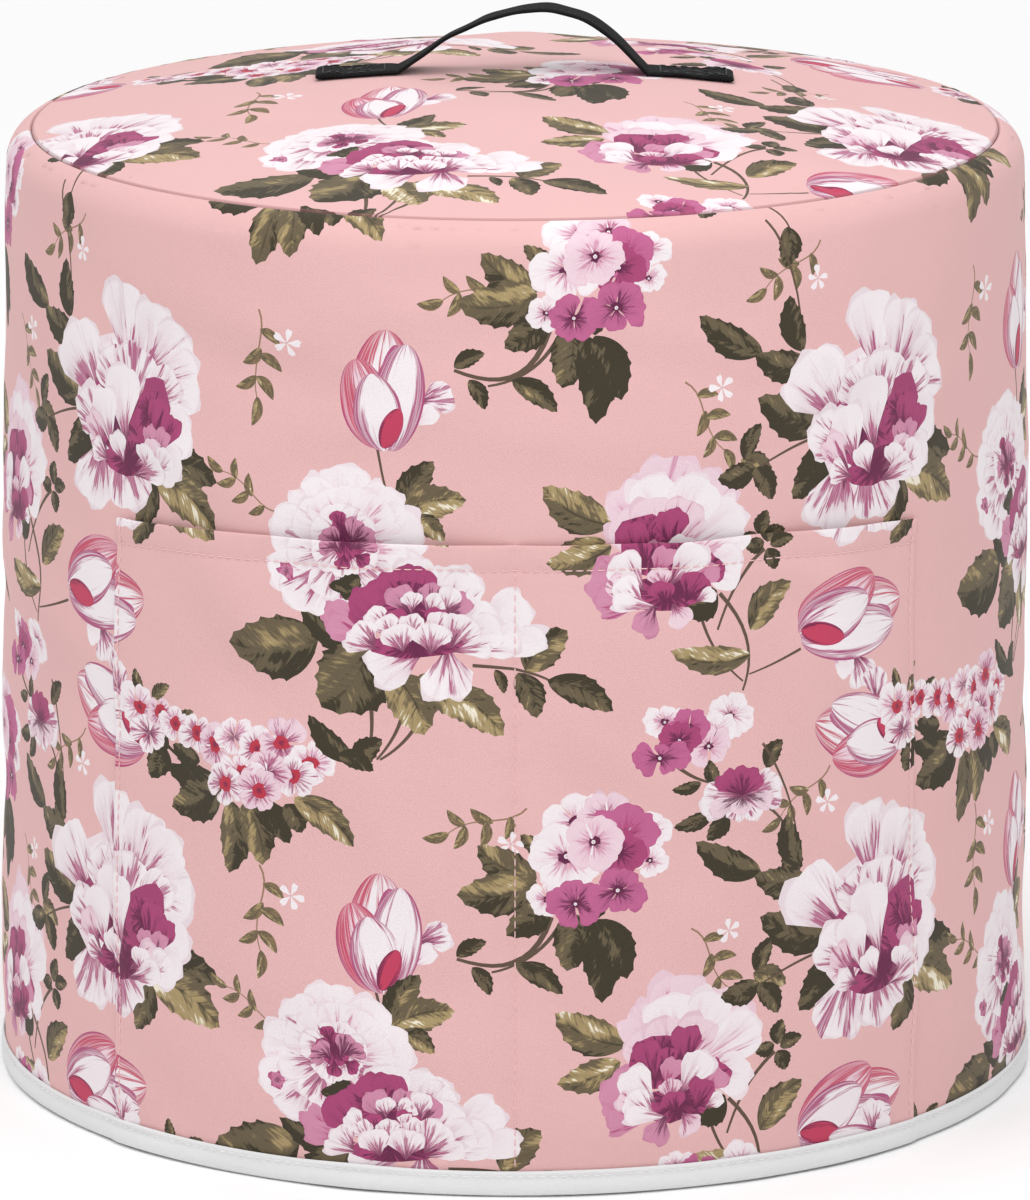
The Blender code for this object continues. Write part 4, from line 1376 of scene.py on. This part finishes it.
def strap_line():
    """The underside of the webbing's middle, as (x, z) in even steps from end to end."""
    left, right = np.array(sewn_spot(LEFT_FOOT_X)), np.array(sewn_spot(RIGHT_FOOT_X))
    apex = np.array([APEX_X, dome_z(0) + ARCH_HEIGHT])
    left_pull = 0.42 * (APEX_X - LEFT_FOOT_X)
    right_pull = 0.48 * (RIGHT_FOOT_X - APEX_X)
    rise = np.array([math.cos(LEFT_RISE), math.sin(LEFT_RISE)])
    fall = np.array([-math.cos(RIGHT_FALL), math.sin(RIGHT_FALL)])
    level = np.array([1, 0])
    shares = np.linspace(0, 1, 60, endpoint=False)
    line = [sewn_spot(x) for x in np.linspace(LEFT_END_X, LEFT_FOOT_X, 30, endpoint=False)]
    for curve in (
        [left, left + rise * left_pull, apex - level * left_pull, apex],
        [apex, apex + level * right_pull * 0.8, right + fall * right_pull, right],
    ):
        line += [curve_point(curve, share) for share in shares]
    line += [sewn_spot(x) for x in np.linspace(RIGHT_FOOT_X, RIGHT_END_X, 30)]
    line = np.array(line)
    travel = travelled(line)
    return sampled(np.linspace(0, travel[-1], 260), travel, line)


def make_strap():
    """Black webbing: flat sewn ends with their tips folded under, and a free arch that leans back."""
    line = strap_line()
    x, z = line.T[:, :, None]
    ahead = unit(np.gradient(line, axis=0))
    travel = travelled(line)[:, None]
    left = smooth_step(x, LEFT_FOOT_X - 0.002, LEFT_FOOT_X + 0.02)
    free = left * smooth_step(x, RIGHT_FOOT_X + 0.002, RIGHT_FOOT_X - 0.016)
    tip = np.minimum(travel, travel[-1] - travel)
    thick = STRAP_THICKNESS + STRAP_TUCK * smooth_step(tip, 0.009, 0.006)
    rounding = np.sqrt(np.clip(tip / 0.0012, 0.02, 1))
    share = (x - LEFT_FOOT_X) / (RIGHT_FOOT_X - LEFT_FOOT_X)
    lean = free * (LEFT_LEAN + (RIGHT_LEAN - LEFT_LEAN) * share)

    half = STRAP_WIDTH / 2
    cross = np.concatenate([np.linspace(-1, 1, 15), np.linspace(1, -1, 15)])
    top_side = np.repeat([0.0, 1.0], 15)
    edge = np.sqrt(np.clip((1 - np.abs(cross)) / 0.05, 0.1, 1))
    across = cross * half * (1 - 0.03 * free)
    wide_x, wide_y = np.broadcast_arrays(x, STRAP_Y + cross * half)
    camber = dome_z(np.hypot(wide_x, wide_y)) - dome_z(np.abs(x))
    level = (1 - free) * (camber + top_relief(wide_x, wide_y))
    skin = thick / 2 * (1 + (2 * top_side - 1) * edge * rounding)
    rise = skin + 0.00012 * FINE(wide_x * 2, across) - across * np.sin(lean)
    points = np.stack([
        x - ahead[:, 1:] * rise, STRAP_Y + across * np.cos(lean), z + ahead[:, :1] * rise + level,
    ], -1)
    strap = new_object("strap_webbing", points, capped_faces(len(cross), len(line), flip=True))
    places = np.stack(np.broadcast_arrays(travel, cross * half, top_side), -1)
    store(strap.data, "cloth", "FLOAT_VECTOR", "POINT", "vector", places)
    finished(strap, "webbing", "handle_end_left", "handle_end_right", "handle_arch")
    top = dome_z(0)
    top + BEND_START
    top + BEND_END
    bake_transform(strap)
    return strap


def box_stitches(name, node, end_x, foot_x):
    """A sewn rectangle with its two diagonals on one flat end of the strap."""
    inset, half = 0.0022, STRAP_WIDTH / 2 - 0.0018
    towards = math.copysign(1, foot_x - end_x)
    near, far = end_x + towards * inset, foot_x - towards * 2 * inset
    low, high = STRAP_Y - half, STRAP_Y + half
    corners = np.array([
        (near, low), (far, low), (far, high), (near, high), (near, low),
        (far, high), (near, high), (far, low),
    ])
    shares = np.arange(40)[:, None] / 40
    x, y = np.concatenate([a + (b - a) * shares for a, b in zip(corners, corners[1:])]).T
    height = STRAP_GAP + STRAP_THICKNESS + STRAP_TUCK * smooth_step(np.abs(x - end_x), 0.009, 0.006) - 0.00005
    points = np.stack([x, y, dome_z(np.hypot(x, y)) + height + top_relief(x, y)], -1)
    up = np.tile([0.0, 0.0, 1.0], (len(points), 1))
    return stitch_row(name, node, "black_thread", STRAP_STITCH, points, up)


# ---- The wall's simulation --------------------------------------------------------------------

CLOTH_SETTINGS = {
    "quality": 6, "mass": 0.25, "tension_stiffness": 40, "compression_stiffness": 40, "shear_stiffness": 12,
    "bending_stiffness": 4, "tension_damping": 20, "compression_damping": 20, "air_damping": 2,
    "vertex_group_mass": "held", "shrink_min": -0.003,
}
CLOTH_GRAVITY = 0.3
CLOTH_DISTANCE = 0.0008
DRUM_DEPTH = 0.0018
DRUM_DISTANCE = 0.0006
LAST_FRAME = 24
MOST_SETTLED = 0.0011


def settle_wall():
    """Lets a coarse wall hang from its seam round the padding, and gives how far each point moved out.

    Rows go up the wall and columns round it, from the front.
    """
    columns, rows = 144, 42
    s, v = np.meshgrid(rings(columns) + HALF_ROUND, np.linspace(0, WALL_END_V, rows))
    start = on_wall(s, v, 0.0001 * FINE(s, v))
    drum = collision_drum(columns, 20)
    wall = new_object("hanging_wall", start, grid_faces(columns, rows, ring=True))
    held = wall.vertex_groups.new(name="held")
    held.add([j * columns + i for j in (0, 1, rows - 2, rows - 1) for i in range(columns)], 1.0, "REPLACE")
    cloth = wall.modifiers.new("cloth", "CLOTH")
    for key, value in CLOTH_SETTINGS.items():
        setattr(cloth.settings, key, value)
    cloth.settings.effector_weights.gravity = CLOTH_GRAVITY
    cloth.collision_settings.distance_min = CLOTH_DISTANCE
    cloth.point_cache.frame_end = LAST_FRAME + 1
    for number in range(1, LAST_FRAME + 1):
        bpy.context.scene.frame_set(number)
    hung = wall.evaluated_get(bpy.context.evaluated_depsgraph_get())
    points = np.zeros(rows * columns * 3)
    hung.data.vertices.foreach_get("co", points)
    points = points.reshape(rows, columns, 3)
    out = np.hypot(points[..., 0], points[..., 1]) - np.hypot(start[..., 0], start[..., 1])
    bpy.context.scene.frame_set(1)
    for obj in (wall, drum):
        bpy.data.objects.remove(obj)
    for _ in range(3):
        out[1:-1] = (out[:-2] + 2 * out[1:-1] + out[2:]) / 4
        out = (np.roll(out, 1, 1) + 2 * out + np.roll(out, -1, 1)) / 4
    return MOST_SETTLED * np.tanh(out / MOST_SETTLED)


def collision_drum(columns, rows):
    """The padding that the wall hangs against."""
    s, v = np.meshgrid(rings(columns), np.linspace(0, WALL_END_V, rows))
    drum = new_object("drum", on_wall(s, v, -DRUM_DEPTH), grid_faces(columns, rows, ring=True))
    drum.modifiers.new("collision", "COLLISION")
    drum.collision.thickness_outer = DRUM_DISTANCE
    return drum


# ---- Stage, light and camera ------------------------------------------------------------------

def make_stage():
    """A pale floor, a hair under the surface that the cover stands on."""
    half, z = 6.0, -0.0004
    corners = [(-half, -half, z), (half, -half, z), (half, half, z), (-half, half, z)]
    floor = new_object("floor", corners, [(0, 1, 2, 3)])
    n = Nodes("pale_floor", 0.6)
    n.colour(n.mix(n.noise(n.place(), 1.2, 2.0), (0.97, 0.97, 0.97), (0.95, 0.95, 0.95)))
    floor.data.materials.append(n.material)


def add_light(name, kind, place, target, **settings):
    """A light at a place, turned towards its target."""
    light = bpy.data.lights.new(name, kind)
    for key, value in settings.items():
        setattr(light, key, value)
    obj = bpy.data.objects.new(name, light)
    obj.location = place
    obj.rotation_euler = (Vector(place) - Vector(target)).to_track_quat("Z", "Y").to_euler()
    bpy.context.scene.collection.objects.link(obj)


def make_light():
    """An even white surround, a wide sun from above, and two small lamps that draw out the creases."""
    world = bpy.data.worlds.new("studio")
    world.use_nodes = True
    background = world.node_tree.nodes["Background"]
    background.inputs["Color"].default_value = (1, 1, 1, 1)
    background.inputs["Strength"].default_value = 0.68
    bpy.context.scene.world = world
    middle = (0, 0, 0.25)
    add_light("overhead", "SUN", (-0.15, -0.2, 1.0), (0, 0, 0), angle=math.radians(50), energy=1.15)
    add_light("key", "AREA", (0.08, -0.6, 0.8), middle, shape="DISK", size=0.4, energy=1.6)
    add_light("rim", "AREA", (0.05, 0.75, 0.95), middle, shape="DISK", size=0.5, energy=0.6)


def make_camera():
    """A long lens that looks down on the front by 13.76 degrees."""
    data = bpy.data.cameras.new("camera")
    data.lens = 287.6
    data.sensor_width = 36
    data.clip_start, data.clip_end = 0.1, 50
    camera = bpy.data.objects.new("camera", data)
    camera.location = (0, -2.934, 0.864)
    camera.rotation_euler = (math.radians(90 - 13.76), 0, 0)
    bpy.context.scene.collection.objects.link(camera)
    bpy.context.scene.camera = camera


# ---- Putting it together ----------------------------------------------------------------------

def build():
    SETTLED.append(settle_wall())
    draw_repeat()
    wall, top, pocket = make_wall(), make_top(), make_pocket()
    padding = ("padding", PADDING_DEPTH, PADDING_THICKNESS)
    inside = ("lining", LINING_DEPTH, LINING_THICKNESS)
    wadding = wall_layer("wall_wadding", "wall_padding", *padding, wall_relief, 220, 56)
    crown = disc_layer("top_wadding", "top_padding", *padding, PADDING_RIM, 160, 28)
    lining = wall_layer("wall_lining_cloth", "wall_lining", *inside, lining_relief, 440, 120)
    ceiling = disc_layer("top_lining_cloth", "top_lining", *inside, LINING_RIM, 300, 60)
    binding = make_binding()
    pocket_stitches = make_pocket_stitches()
    binding_stitches, back_stitches, tape_stitches = make_wall_stitches()
    ring, strip = make_tapes()
    make_strap()
    left = box_stitches("strap_left_stitches", "handle_left_stitch", LEFT_END_X, LEFT_FOOT_X)
    right = box_stitches("strap_right_stitches", "handle_right_stitch", RIGHT_END_X, RIGHT_FOOT_X)
    for piece in (wall, top, pocket, wadding, crown, lining, ceiling, binding, *pocket_stitches,
                  binding_stitches, back_stitches, tape_stitches, ring, strip, left, right):
        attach(piece, "cover")


make_stage()
make_light()
make_camera()
bpy.context.scene.view_settings.view_transform = "Standard"
build()
